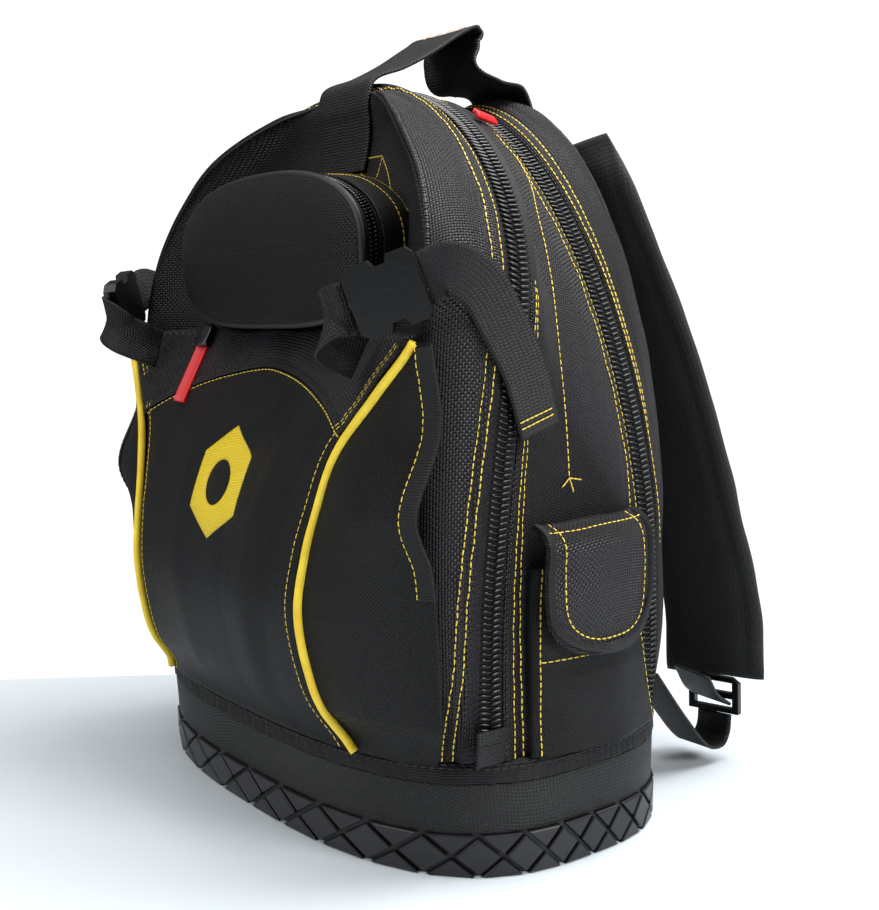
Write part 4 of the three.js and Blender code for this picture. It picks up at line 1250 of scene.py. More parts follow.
@dataclass
class BodyShells:
    """The three soft shells, their sewn seams and the two main zippers."""

    bench: Bench
    edge_shift: float = 7.0
    tape_reach: float = 11.0
    columns: int = 150
    side_wall: float = 1.6
    mid_seam: Rows = (
        (516, 156), (530, 184), (537, 213), (545, 246), (552, 285), (556, 320), (560, 360), (564, 400),
        (567, 440), (569, 478),
    )
    stray_end: Rows = ((530, 420), (531, 424))

    def build(self) -> None:
        """Lays the shells, then sews them and adds the zippers."""
        self.front_face()
        self.front_side()
        self.middle_shell()
        self.rear_side()
        self.rear_face()
        self.zipper("zipper_1", "zip_one")
        self.zipper("zipper_2", "zip_two")
        for side in Side:
            self.end_tab(side)
        self.sew()

    def end_tab(self, side: Side) -> None:
        """Webbing tab that closes the first zipper at its foot."""
        form = self.bench.form
        points = []
        for share in (0.0, 0.007, 0.014, 0.021):
            foot = form.arch_point(form.arches["zip_one"], share)
            points.append(Vector((side.value * (foot.x + 3.4), foot.y, foot.z)))
        name = "zipper_end_tab_" + side.label
        band = Band(name, points, lambda v: Vector((0, 1, 0)), 20, self.bench.middle, 12, 10, 0.6).cloth()
        self.bench.black.line(band.line((0.05, 0.55), (0.95, 0.55), 20), 3.6, 0.2)
        band.finished(WEBBING, "webbing", ["zipper_tab_" + side.label], 1.2)

    def arch(self, name: str, shift: float = 0.0) -> Callable[[float], Vector]:
        """One arch as a function of the place along it."""
        return lambda t: self.bench.form.arch_point(self.bench.form.arches[name], t, shift)

    def strip(self, name: str, stations: Sequence[Callable[[float], Vector]], rows: int) -> Cloth:
        """Lays a strip of cloth through its arch stations."""

        def place(u: float, v: float) -> Vector:
            """Point of the strip."""
            return through([station(u) for station in stations], v)

        return Cloth(name, place, self.columns, rows, self.bench.middle)

    def blend(self, one: Callable, two: Callable, swell: float) -> Callable[[float], Vector]:
        """Station midway between two others, swollen outwards."""
        form = self.bench.form

        def place(t: float) -> Vector:
            """Point of the blended station."""
            point = one(t).lerp(two(t), 0.5)
            outward = Vector((point.x, 0, max(0.0, point.z - self.bench.middle.z))).normalized()
            free = min(1.0, max(0.0, (point.z - form.foot_height) / form.tuck_height))
            return point + outward * (swell * free)

        return place

    @staticmethod
    def hem(distance: float) -> float:
        """Height of a turned hem beside a zipper, sewn down behind it in two lines."""
        width, first_line, second_line, dent = 9.0, 9.5, 15.5, 1.6
        roll = 1.1 * math.sin(math.pi * distance / width) if distance < width else 0.0
        return roll - 0.7 * bell(distance - first_line, dent) - 0.4 * bell(distance - second_line, dent)

    def front_face(self) -> None:
        """Front panel, sunk in behind the small case."""
        form = self.bench.form
        edge = self.arch("front_edge")

        def place(u: float, v: float) -> Vector:
            """Point of the front panel on a shrunken ring of its edge."""
            rim = edge(u)
            share = 1 - (1 - v) ** 1.3
            x, z = rim.x * share, form.foot_height + (rim.z - form.foot_height) * share
            if v == 1.0:
                return rim
            return form.tuck(Vector((x, form.face_back(x, z), z)))

        cloth = Cloth("front_face", place, self.columns, 60, self.bench.middle, planar=True)
        cloth.smooth(3)
        cloth.relief(lambda s: (
            1.6 * ripple(s.point, 55) + 0.6 * ripple(s.point, 22, 5) - 1.2 * bell(s.last, 3)))
        self.bench.keep(cloth)
        cloth.finished(WEAVE, "weave", ["front_shell"], form.cloth_wall)

    def front_side(self) -> None:
        """Side of the front shell, from its edge back to the first zipper."""
        corner = self.arch("front_corner")
        zip_edge = self.arch("zip_one", -self.edge_shift)
        cloth = self.strip("front_side", [
            self.arch("front_edge"), corner, self.blend(corner, zip_edge, 2.5), zip_edge,
        ], 34)

        def folds(spot: Spot) -> float:
            """Long soft folds down the side, puckers at the seam and the hem."""
            seam = min(spot.first, spot.last)
            long = 1.5 * ripple(Vector((spot.point.x * 0.3, spot.point.y, spot.point.z * 0.3)), 24)
            pucker = 0.35 * math.sin(spot.start * 2 * math.pi / 7.4) * bell(spot.last - 9, 7)
            return long * min(1.0, seam / 12) + pucker + self.hem(spot.last) - 1.0 * bell(spot.first, 3)

        cloth.relief(folds)
        self.bench.keep(cloth)
        cloth.finished(WEAVE, "weave", ["front_shell"], self.side_wall)

    def middle_shell(self) -> None:
        """Middle shell between the two zippers."""
        waist = self.arch("waist")
        rear = self.arch("zip_two", -self.edge_shift)
        cloth = self.strip("middle_side", [
            self.arch("zip_one", self.edge_shift), waist, self.blend(waist, rear, 3), rear,
        ], 56)

        def folds(spot: Spot) -> float:
            """Hollows along the middle, folds and both hems."""
            seam = min(spot.first, spot.last)
            long = 2.2 * ripple(Vector((spot.point.x * 0.3, spot.point.y, spot.point.z * 0.35)), 26, 4)
            pucker = 0.35 * math.sin(spot.start * 2 * math.pi / 7.4) * bell(seam - 9, 7)
            return long * min(1.0, seam / 14) + pucker + self.hem(spot.first) + self.hem(spot.last)

        cloth.relief(folds)
        self.bench.keep(cloth)
        cloth.finished(WEAVE, "weave", ["middle_shell"], self.side_wall)

    def rear_side(self) -> None:
        """Side of the rear shell."""
        cloth = self.strip("rear_side", [
            self.arch("zip_two", self.edge_shift), self.arch("rear_corner"), self.arch("rear_edge"),
        ], 26)

        def folds(spot: Spot) -> float:
            """Soft folds between the hem and the rear seam."""
            long = 1.4 * ripple(spot.point, 34, 9) * min(1, spot.first / 12)
            return self.hem(spot.first) + long - bell(spot.last, 3)

        cloth.relief(folds)
        self.bench.keep(cloth)
        cloth.finished(WEAVE, "weave", ["rear_shell"], self.side_wall)

    def rear_face(self) -> None:
        """Plain back panel."""
        form = self.bench.form
        edge = self.arch("rear_edge")

        def place(u: float, v: float) -> Vector:
            """Point of the back panel."""
            rim = edge(u)
            x, z = rim.x * v, form.foot_height + (rim.z - form.foot_height) * v
            return rim if v == 1.0 else form.tuck(Vector((x, form.rear_back(x, z), z)))

        cloth = Cloth("rear_face", place, self.columns, 44, self.bench.middle, planar=True)
        cloth.smooth(2)
        cloth.relief(lambda s: 1.6 * ripple(s.point, 60, 2) + 0.5 * ripple(s.point, 20, 7) - bell(s.last, 3))
        cloth.finished(WEAVE, "weave", ["rear_shell"], self.side_wall)

    def zipper(self, node: str, arch_name: str) -> None:
        """Woven tape with two interlocking rows of coil."""
        front, back = self.arch(arch_name, -self.tape_reach), self.arch(arch_name, self.tape_reach)
        tape = Cloth(node + "_tape", lambda u, v: front(u).lerp(back(u), v), 220, 6, self.bench.middle)
        coil = Coil(node + "_coil", pitch=2.9, reach=6.4, thick=1.25)
        coil.lay(tape.line((0, 0.5), (1, 0.5), 600))
        coil.finished()
        tape.finished(TAPE, "coil", [node], 1.0)

    def sew(self) -> None:
        """Double yellow rows beside the zippers and single rows on the panels."""
        cloths, bench = self.bench.cloths, self.bench

        def beside(low: float, high: float, extra: float) -> Callable[[float], float]:
            """Distance from the zipper, which changes from the foot to the crest."""

            def distance(u: float) -> float:
                """Distance at one place along the zipper."""
                rise = 1 - abs(1 - 2 * u)
                return extra + low + (high - low) * min(1.0, rise * 1.5)

            return distance

        # cloth, whether from its last row, distance at the foot and at the crest
        rows = [
            ("front_side", True, 11.0, 3.0), ("middle_side", False, 6.5, 3.5),
            ("middle_side", True, 5.5, 3.0), ("rear_side", False, 6.0, 4.0),
        ]
        between_rows = 5.2
        for name, from_last, low, high in rows:
            for extra in (0.0, between_rows):
                bench.yellow.line(cloths[name].line_from(beside(low, high, extra), from_last, 300))
        tree = cloths["middle_side"].tree()
        seam = bench.camera.trace(self.mid_seam, tree)
        bench.both_sides(seam)
        self.loose_ends(seam[-1], 1.0)
        self.loose_ends(bench.camera.trace(self.stray_end, tree)[-1], -0.4)

    def loose_ends(self, foot: Place, droop: float) -> None:
        """Free thread ends that stand out at the end of a seam, down or a little up."""
        point, normal = foot
        for turn in (0.2, 1.4, 2.6):
            swing = Vector((0, math.cos(turn), -math.sin(turn) * droop))
            for step in range(3):
                at = point + swing * (2.4 * step + 1) + normal * (0.6 + 0.5 * step)
                self.bench.yellow.stitch(at, swing, normal)


@dataclass
class Coil:
    """Two rows of interlocking nylon coil teeth along a line."""

    name: str
    pitch: float
    reach: float
    thick: float

    def __post_init__(self) -> None:
        """Makes one tooth, a slanted rounded bar."""
        tooth = bmesh.new()
        bmesh.ops.create_uvsphere(tooth, u_segments=6, v_segments=5, radius=1.0)
        for vert in tooth.verts:
            x, y, z = vert.co
            reach = math.copysign(abs(z) ** 0.6, z) * self.reach * 0.54
            slanted = x * self.thick * 0.62 + reach * 0.16
            vert.co = Vector((slanted, reach + self.reach * 0.46, y * self.thick * 0.75))
        self.model = bpy.data.meshes.new(self.name + "_tooth")
        tooth.to_mesh(self.model)
        tooth.free()
        self.mesh = bmesh.new()

    def lay(self, places: Sequence[Place]) -> None:
        """Lays both rows of teeth along points that come with normals."""
        points = [p for p, _ in places]
        lengths = run_lengths(points)
        k = 0
        for number, (point, along) in enumerate(spread(points, self.pitch / 2)):
            walked = (number + 0.5) * self.pitch / 2
            while k < len(lengths) - 2 and lengths[k + 1] < walked:
                k += 1
            normal = places[k][1]
            sense = 1 if number % 2 else -1
            across = normal.cross(along).normalized() * sense
            forward = across.cross(normal).normalized() * sense
            spot = point + normal * (self.thick * 0.55)
            add_copy(self.mesh, self.model, axes_at(forward, across, normal, spot))

    def finished(self) -> None:
        """Finishes the teeth as one piece."""
        bmesh.ops.recalc_face_normals(self.mesh, faces=self.mesh.faces[:])
        bpy.data.meshes.remove(self.model)
        finish_piece(self.name, self.mesh, COIL)


@dataclass
class FrontPocket:
    """Bulged pocket between two pipings, with its yoke, gussets and embroidery."""

    bench: Bench
    clear: float = 3.0
    piping_radius: float = 2.3
    motif_width: float = 60
    motif_height: float = 186

    def build(self) -> None:
        """Builds the pocket's pieces."""
        self.face = self.bench.cloths["front_face"].tree()
        self.panel()
        self.yoke()
        for side in Side:
            self.gusset(side)
            self.piping(side)
            self.slip_binding(side)
        self.motif()

    def point(self, across: float, z: float) -> Vector:
        """Point of the pocket's outer side, across from -1 to 1 at the pipings."""
        form = self.bench.form
        rise = z / form.body_top
        ridge = follow(form.pocket_rows, rise, 1) * form.half_width
        front = follow(form.pocket_rows, rise, 2) * form.base_depth
        centre = follow(form.pocket_rows, rise, 3) * form.base_depth
        x = across * ridge
        y = front + (centre - front) * (1 - across ** 2)
        hit = from_front(self.face, x, z)
        behind = hit.y if hit else form.face_back(x, z)
        return form.tuck(Vector((x, min(y, behind - self.clear), z)), form.pocket_reach, form.pocket_tuck)

    def seam(self, across: float) -> float:
        """Height of the yoke's humped seam."""
        form = self.bench.form
        return form.yoke_high - (form.yoke_high - form.yoke_low) * abs(across) ** 1.5

    def gusset_edge(self, side: Side, z: float) -> Vector:
        """Rear edge of the gusset at a height."""
        form = self.bench.form
        rise = z / form.body_top
        x = side.value * follow(form.gusset_edge, rise, 1) * form.half_width
        return Vector((x, follow(form.gusset_edge, rise, 2) * form.base_depth, z))

    def panel(self) -> None:
        """Front panel with slack vertical creases and a seam under the yoke."""
        form = self.bench.form

        def place(u: float, v: float) -> Vector:
            """Point of the panel."""
            across = (2 * u - 1) * 0.965
            low = form.foot_height
            return self.point(across, low + v * (self.seam(across) - low))

        cloth = Cloth("pocket_panel_cloth", place, 120, 90, self.bench.middle)

        def creases(spot: Spot) -> float:
            """Broad creases that run down from the yoke."""
            fade = min(1.0, spot.last / 14) * min(1.0, spot.first / 20)
            across = 2 * spot.u - 1
            fold = 2.6 * bell(across - 0.42 - 0.12 * spot.v, 0.1)
            fold -= 2.2 * bell(across - 0.62 - 0.1 * spot.v, 0.09)
            fold += 1.4 * bell(across + 0.35 + 0.1 * spot.v, 0.1) - 1.2 * bell(across - 0.2, 0.08)
            slack = 1.8 * ripple(Vector((spot.point.x, 0, spot.point.z * 0.45)), 38, 6)
            edge = -0.9 * bell(min(spot.start, spot.end), 2.5) - 0.8 * bell(spot.last, 2.5)
            return (fold * (0.35 + 0.65 * spot.v) + slack) * fade + edge

        cloth.relief(creases)
        self.bench.keep(cloth)
        cloth.finished(PANEL_WEAVE, "weave", ["pocket_panel"], form.cloth_wall)
        for from_end in (False, True):
            self.bench.yellow.line(self.hem_line(cloth, 5.0, from_end, 180))
        under_seam = 3.2
        self.bench.yellow.line(cloth.line_from(lambda u: under_seam, True, 200))

    @staticmethod
    def hem_line(cloth: Cloth, inset: float, from_end: bool, steps: int, top: float = 1.0) -> list[Place]:
        """Line up one side of a sheet, at an inset in millimetres."""
        made = []
        for k in range(steps + 1):
            v = k / steps * top
            u = inset / cloth.across[round(v * cloth.rows)][-1]
            made.append(cloth.at(1 - u if from_end else u, v))
        return made

    def yoke(self) -> None:
        """Yoke of coarse shiny cloth above the panel, its top tucked behind the case."""
        form = self.bench.form

        fold = 0.92

        def place(u: float, v: float) -> Vector:
            """Point of the yoke, folded back to the front face at its top."""
            across = (2 * u - 1) * 0.975
            high = form.pocket_top + 4 * (1 - across ** 2)
            low = self.seam(across) - 1
            z = low + min(v, fold) / fold * (high - low)
            point = self.point(across, z)
            if v > fold:
                hit = from_front(self.face, point.x, z)
                behind = (hit.y if hit else point.y + self.clear) - self.clear
                point.y += (behind - point.y) * (v - fold) / (1 - fold)
                point.z += (v - fold) * 30
            return point

        cloth = Cloth("pocket_yoke_cloth", place, 130, 40, self.bench.middle)
        cloth.relief(lambda s: (
            0.9 + 1.5 * ripple(s.point, 26, 8) * min(1, s.first / 9) - 0.9 * bell(s.first - 5, 1.8)))
        self.bench.keep(cloth)
        cloth.finished(YOKE_WEAVE, "weave", ["pocket_yoke"], 1.8)
        for inset in (5.0, 8.5):
            self.bench.both_sides(self.hem_line(cloth, inset, True, 120, 0.9))

    def gusset(self, side: Side) -> None:
        """Side gusset of the pocket, from the piping back to the slip pocket's edge."""
        form = self.bench.form
        low, high = form.foot_height, form.pocket_top

        def place(u: float, v: float) -> Vector:
            """Point of the gusset."""
            z = low + v * (high - low)
            ridge = self.point(side.value, z)
            edge = self.gusset_edge(side, z)
            start = (self.piping_radius - 0.6) / (edge - ridge).length
            share = start + u * (1 - start)
            point = ridge.lerp(edge, share)
            point.y -= 4 * math.sin(math.pi * share) * math.sin(math.pi * v) ** 0.5
            return form.tuck(point, form.pocket_reach, form.pocket_tuck)

        cloth = Cloth("pocket_gusset_cloth_" + side.label, place, 44, 90, self.bench.middle)
        cloth.relief(lambda s: (
            1.6 * ripple(Vector((s.point.x * 0.8, s.point.y, s.point.z * 0.4)), 24, 11) * min(1, s.start / 8)
            - 0.8 * bell(s.start, 2)))
        self.bench.keep(cloth)
        cloth.finished(PANEL_WEAVE, "weave", ["pocket_gusset_" + side.label], form.cloth_wall)

    def piping(self, side: Side) -> None:
        """Bright piping along the ridge, its lower end tucked under the binding."""
        form = self.bench.form
        ridge = []
        for k in range(30):
            z = form.foot_height + k / 29 * (form.pocket_top - form.foot_height)
            point = self.point(side.value, z)
            edge = self.gusset_edge(side, z)
            ridge.append(point + (edge - point).normalized() * 3.2 + Vector((0, -0.6, 0)))
        steps = 120
        route = even_route(ridge, steps)

        def place(u: float, v: float) -> Vector:
            """Point on the piping's round skin."""
            k = min(round(v * steps), len(route) - 1)
            along = heading(route, k)
            wide = along.cross(Vector((0, -1, 0))).normalized()
            out = wide.cross(along)
            angle = 2 * math.pi * u
            radius = self.piping_radius * (1 + 0.05 * noise.noise(route[k] / 9))
            return route[k] + wide * (math.cos(angle) * radius) + out * (math.sin(angle) * radius)

        cloth = Cloth("piping_cord_" + side.label, place, 16, steps, route[steps // 2], True)
        cloth.cap_ends()
        cloth.finished(PIPING, "yellow", ["piping_" + side.label])

    def slip_binding(self, side: Side) -> None:
        """Grosgrain bound over the gusset's rear edge, sewn in yellow."""
        cloth = self.bench.cloths["pocket_gusset_cloth_" + side.label]
        inset, lift, width = 4.0, 1.0, 9.5
        points = []
        steps, low, high = 30, 0.42, 0.99
        for k in range(steps + 1):
            v = low + (high - low) * k / steps
            point, normal = cloth.at(1 - inset / cloth.across[round(v * cloth.rows)][-1], v)
            points.append(point + normal * lift)
        far = cloth.at(1, 0.7)[0] - cloth.at(0.8, 0.7)[0]
        name = "slip_binding_tape_" + side.label
        band = Band(name, points, lambda v: far, width, self.bench.middle, 70, 6, 0.7).cloth()
        band.finished(BINDING, "webbing", ["slip_binding_" + side.label], 1.2)
        self.bench.yellow.line(band.line((0.08, 0), (0.08, 1), 60))

    def motif(self) -> None:
        """Hex nut in raised satin stitch."""
        panel = self.bench.cloths["pocket_panel_cloth"].tree()
        hole, thick, sunk = self.motif_width * 0.2, 1.6, 0.5

        def place(u: float, v: float) -> Vector:
            """Point of the embroidery between the nut's hole and its six sides."""
            angle = 2 * math.pi * u
            corner = ((angle + math.pi / 6) % (math.pi / 3)) - math.pi / 6
            hexagon = self.motif_width / 2 * math.cos(math.pi / 6) / math.cos(corner)
            reach = hole + v * (hexagon - hole)
            x, z = reach * math.cos(angle), self.motif_height + reach * math.sin(angle)
            raised = thick * math.sin(math.pi * min(max(v, 0.02), 0.98)) ** 0.4
            return Vector((x, from_front(panel, x, z).y - raised + sunk, z))

        centre = Vector((0, 0, self.motif_height))
        cloth = Cloth("motif_embroidery", place, 144, 12, centre, True, planar=True)
        cloth.finished(EMBROIDERY, "yellow", ["motif"], 0.8)


@dataclass
class SmallCase:
    """Moulded case on the front: back shell, zipper and domed lid."""

    bench: Bench
    width: float = 200
    height: float = 82
    bottom: float = 269
    zip_depth: float = 9
    segments: int = 144

    def build(self) -> None:
        """Builds the case against the front face."""
        self.face = self.bench.cloths["front_face"].tree()
        low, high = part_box("case_back")
        self.rear = high.y / MM
        self.rim = low.y / MM
        self.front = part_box("case_lid")[0].y / MM
        self.back_shell()
        self.zipper()
        self.lid()

    def ring(self, angle: float, y: float, inset: float) -> Vector:
        """Point on the case's outline: a round top and tighter lower corners."""
        power = 2.4 if math.sin(angle) > 0 else 3.4
        x = math.copysign(abs(math.cos(angle)) ** (2 / power), math.cos(angle))
        z = math.copysign(abs(math.sin(angle)) ** (2 / power), math.sin(angle))
        centre = self.bottom + self.height / 2
        return Vector((x * (self.width / 2 - inset), y, centre + z * (self.height / 2 - inset)))

    def skin(self, name: str, profile: Sequence[tuple[float, float]], pole: bool) -> Cloth:
        """Closed skin of the case through a profile of depth and inset."""
        last = len(profile) - 1

        def place(u: float, v: float) -> Vector:
            """Point of the skin."""
            y, inset = profile[round(v * last)]
            if pole and round(v * last) == last:
                return Vector((0, y, self.bottom + self.height / 2))
            return self.ring(2 * math.pi * (u + 0.25), y, inset)

        centre = Vector((0, self.rear, self.bottom + self.height / 2))
        return Cloth(name, place, self.segments, last, centre, True, (False, pole))

    def back_shell(self) -> None:
        """Back of the case: a piped seam on the body, then the side wall."""
        rear = self.rear
        profile = [(rear - 1.5, 7), (rear - 2.5, 2), (rear - 4, 0.3), (rear - 6, 0), (rear - 10, 0.6)]
        profile += [(rear - 14, 0.4), (self.rim + 1.5, 0), (self.rim, 0.5)]
        cloth = self.skin("case_back_cloth", profile, False)
        cloth.relief(lambda s: 0.8 * ripple(s.point, 24, 3))
        cloth.finished(CASE_WEAVE, "moulded", ["case_back"], 1.5)
        for row in (2, 4):
            v = row / cloth.rows
            self.bench.yellow.line(cloth.line((0, v), (1, v), 300), 3.4)

    def zipper(self) -> None:
        """Smaller coil zipper around the case."""
        start, end = self.rim - 0.2, self.rim - self.zip_depth
        profile = [(start + (end - start) * k / 4, 1.6) for k in range(5)]
        tape = self.skin("case_zipper_tape", profile, False)
        coil = Coil("case_zipper_coil", pitch=2.1, reach=3.1, thick=1.0)
        coil.lay(tape.line((0, 0.5), (1, 0.5), 500))
        coil.finished()
        tape.finished(TAPE, "coil", ["case_zipper"], 0.8)

    def lid(self) -> None:
        """Domed lid with a smooth rolled rim."""
        start = self.rim - self.zip_depth - 0.4
        deep = start - self.front
        rows = (
            (0.0, 2.6), (0.03, 0.8), (0.1, -0.6), (0.2, -1.2), (0.3, -0.8), (0.37, 0.8), (0.4, 2.0),
            (0.46, 3.2), (0.6, 6.5), (0.74, 11.0), (0.85, 16.5), (0.93, 23.0), (0.98, 31.0), (1.0, 39.0),
        )
        rim = [(start - share * deep, inset) for share, inset in rows[:7]]
        dome = [(start - share * deep, inset) for share, inset in rows[6:]]
        dome.append((self.front, 41.0))
        edge = self.skin("case_lid_rim", rim, False)
        edge.finished(RIM, "moulded", ["case_lid"], 1.5)

        def place(u: float, v: float) -> Vector:
            """Point of the domed face, through its profile rows."""
            k = v * (len(dome) - 1)
            i = min(int(k), len(dome) - 2)
            low, high = dome[i], dome[i + 1]
            y = low[0] + (high[0] - low[0]) * (k - i)
            inset = low[1] + (high[1] - low[1]) * (k - i)
            return self.ring(2 * math.pi * (u + 0.25), y, inset)

        centre = Vector((0, self.rear, self.bottom + self.height / 2))
        face = Cloth("case_lid_face", place, self.segments, 24, centre, True, planar=True)
        face.smooth(4)
        face.finished(CASE_WEAVE, "moulded", ["case_lid"], 1.5)


@dataclass
class SidePouches:
    """Side pouches, each under a round flap with a bound edge."""

    bench: Bench
    front: float = 0.1
    rear: float = 0.99
    bulge: float = 13
    top: float = 150
    flap_top: float = 170
    flap_bottom: float = 104

    def build(self) -> None:
        """Builds both sides."""
        for side in Side:
            self.pouch(side)
            self.flap(side)

    def wall(self, side: Side, across: float, z: float) -> tuple[Vector, Vector]:
        """Place on the middle shell's side and the level direction out of it."""
        form = self.bench.form
        arches = form.arches
        low = form.foot_height
        stations = []
        for name, shift in (("zip_one", 10), ("waist", 0), ("zip_two", -10)):
            y = form.arch_back(arches[name], z) + shift
            x = form.arch_half(arches[name], z)
            stations.append(form.tuck(Vector((x, y, max(z, low)))))
        point = through(stations, across)
        ahead = through(stations, min(1, across + 0.05))
        behind = through(stations, max(0, across - 0.05))
        along = (ahead - behind).normalized()
        out = along.cross(Vector((0, 0, 1))).normalized()
        return Vector((side.value * point.x, point.y, z)), Vector((side.value * out.x, out.y, 0))

    def swell(self, across: float, z: float) -> float:
        """How far the pouch stands out."""
        share = min(1.0, max(0.0, (across - self.front) / (self.rear - self.front)))
        low = self.bench.form.foot_height
        rise = min(1.0, (z - low) / (0.4 * (self.top - low)))
        return self.bulge * max(0.0, math.sin(math.pi * share)) ** 0.6 * (0.35 + 0.65 * rise)

    def pouch(self, side: Side) -> None:
        """Pouch cloth, sewn down its two sides."""
        low = self.bench.form.foot_height + 0.3

        def place(u: float, v: float) -> Vector:
            """Point of the pouch's outer side."""
            across = self.front + u * (self.rear - self.front)
            z = low + v * (self.top - low)
            point, out = self.wall(side, across, z)
            return point + out * (3.2 + self.swell(across, z))

        cloth = Cloth("side_pouch_cloth_" + side.label, place, 50, 50, self.bench.middle)
        cloth.relief(lambda s: 1.3 * ripple(s.point, 22, 5) * min(1, s.start / 8, s.end / 8))
        for u in (0.05, 0.95):
            self.bench.yellow.line(cloth.line((u, 0), (u, 1), 60))
        self.bench.yellow.line(cloth.line((0.05, 0.5), (0.95, 0.5), 40))
        cloth.finished(PANEL_WEAVE, "weave", ["side_pouch_" + side.label], 1.8)

    def flap(self, side: Side) -> None:
        """Flap with a round lower edge, bound in grosgrain and sewn in yellow."""
        centre = (self.front + self.rear) / 2
        half = (self.rear - self.front) * 0.49
        drop_lift = ((0, 0.0), (0.05, 0.6), (0.14, 0.95), (0.3, 1.0), (1, 1.0))

        def place(u: float, v: float) -> Vector:
            """Point of the flap's outer side, v down from its sewn top."""
            below = max(0.0, (v - 0.45) / 0.55)
            narrow = max(0.28, (1 - below ** 2.6) ** (1 / 2.6)) if v < 1 else 0.28
            across = centre + (2 * u - 1) * half * narrow
            z = self.flap_top - v * (self.flap_top - self.flap_bottom)
            point, out = self.wall(side, across, z)
            over = self.swell(centre, self.top) + 4.0
            edge = self.swell(across, self.top) + 4.0
            stand = follow(drop_lift, v) * (0.35 * over + 0.65 * max(edge, 0.5 * over))
            return point + out * (2.4 + stand)

        cloth = Cloth("side_flap_cloth_" + side.label, place, 48, 48, self.bench.middle)
        cloth.relief(lambda s: (
            0.9 * ripple(s.point, 20, 2) + 0.8 * bell(min(s.start, s.end, s.last) - 3, 3.5)))

        def border(inset: float) -> list[Place]:
            """Line round the flap's sides and bottom, at an inset in about millimetres."""
            width, length, turn = 62, 68, 0.5
            u, v = inset / width, inset / length
            path = [(u, k / 20 * turn) for k in range(20)]
            for k in range(61):
                angle = math.pi * k / 60
                wide = math.copysign(abs(math.cos(angle)) ** 0.6, math.cos(angle))
                path.append((0.5 - (0.5 - u) * wide, turn + (1 - v - turn) * math.sin(angle) ** 0.6))
            path += [(1 - u, (1 - k / 20) * turn) for k in range(1, 21)]
            return [cloth.at(a, b) for a, b in path]

        self.bench.yellow.line(border(8.0))
        rim = border(1.2)
        centre_point = cloth.at(0.5, 0.5)[0]
        tape = Cloth(
            "side_flap_binding_" + side.label, lambda u, v: self.rim_place(rim, centre_point, u, v), 5, 100,
            self.bench.middle)
        tape.finished(BINDING, "webbing", wall=1.0)
        self.bench.yellow.line(cloth.line((0.04, 0.05), (0.96, 0.05), 40))
        cloth.finished(WEAVE, "weave", ["side_flap_" + side.label], 1.8)

    @staticmethod
    def rim_place(rim: Sequence[Place], centre: Vector, u: float, v: float) -> Vector:
        """Point of the binding tape that folds over the flap's rim."""
        k = min(round(v * (len(rim) - 1)), len(rim) - 1)
        point, normal = rim[k]
        past_rim, width = 1.2, 5.4
        inward = centre - point
        inward = (inward - normal * inward.dot(normal)).normalized()
        fold = math.sin(math.pi * (0.25 + 0.75 * u))
        return point + inward * (width * u - past_rim) + normal * fold


@dataclass
class CarryHandle:
    """Webbing handle sewn to the front face and behind the crest."""

    bench: Bench
    width: float = 50
    top: float = 440
    beside: float = 7.0
    anchor_lines: tuple[Rows, ...] = (
        ((351, 163), (366, 159), (383, 156)), ((352, 164), (360, 172), (368, 180)),
        ((383, 157), (380, 168), (377, 178)), ((383, 157), (388, 172), (391, 188)),
    )

    def build(self) -> None:
        """Builds the webbing, its gold bartacks and the sewn box at its foot."""
        form = self.bench.form
        face = self.bench.cloths["front_face"].tree()
        x = self.beside

        def on_face(z: float, lift: float) -> Vector:
            """Place over the front face."""
            hit = from_front(face, x, z)
            return Vector((x, (hit.y if hit else form.face_back(x, z)) - lift, z))

        crest = form.body_top
        points = [
            on_face(352, 2.6), on_face(366, 2.6), on_face(380, 3.0), on_face(389, 4.0),
            Vector((x, -20, crest + 4)), Vector((x, 0, 410)), Vector((x * 0.9, 19, self.top - 21)),
            Vector((x * 0.5, 44, self.top - 7)), Vector((0, 57, self.top - 2)),
            Vector((-1, 64, self.top - 5)),
            Vector((0, 60, self.top - 14)), Vector((x * 0.5, 60, self.top - 27)), Vector((x, 72, crest + 9)),
            Vector((x, 88, crest + 6)), Vector((x, form.rear_back(x, 386) + 3, 384)),
            Vector((x, form.rear_back(x, 366) + 3, 366)),
        ]
        band = Band(
            "handle_webbing", points, lambda v: Vector((1, 0.05 * math.sin(3 * v), 0)), self.width,
            Vector((0, 30, 380)), 150, 14).cloth()
        band.finished(WEBBING, "webbing", ["handle"], 1.8)
        tack, ahead, pitch = 0.545, 0.555, 2.0
        for across in (0.25, 0.42, 0.6, 0.78):
            point, normal = band.at(across, tack)
            along = band.at(across, ahead)[0] - point
            for sense, lift in ((1, 0.4), (-1, -2.2)):
                for step in range(4):
                    at = point + along.normalized() * (step * pitch) + normal * lift
                    self.bench.gold.stitch(at, along, normal * sense)
        self.anchor(face)

    def anchor(self, face: BVHTree) -> None:
        """Yellow sewn triangle below the handle's foot, as the photograph shows it."""
        for pixels in self.anchor_lines:
            self.bench.yellow.line(self.bench.camera.trace(pixels, face), 2.9)


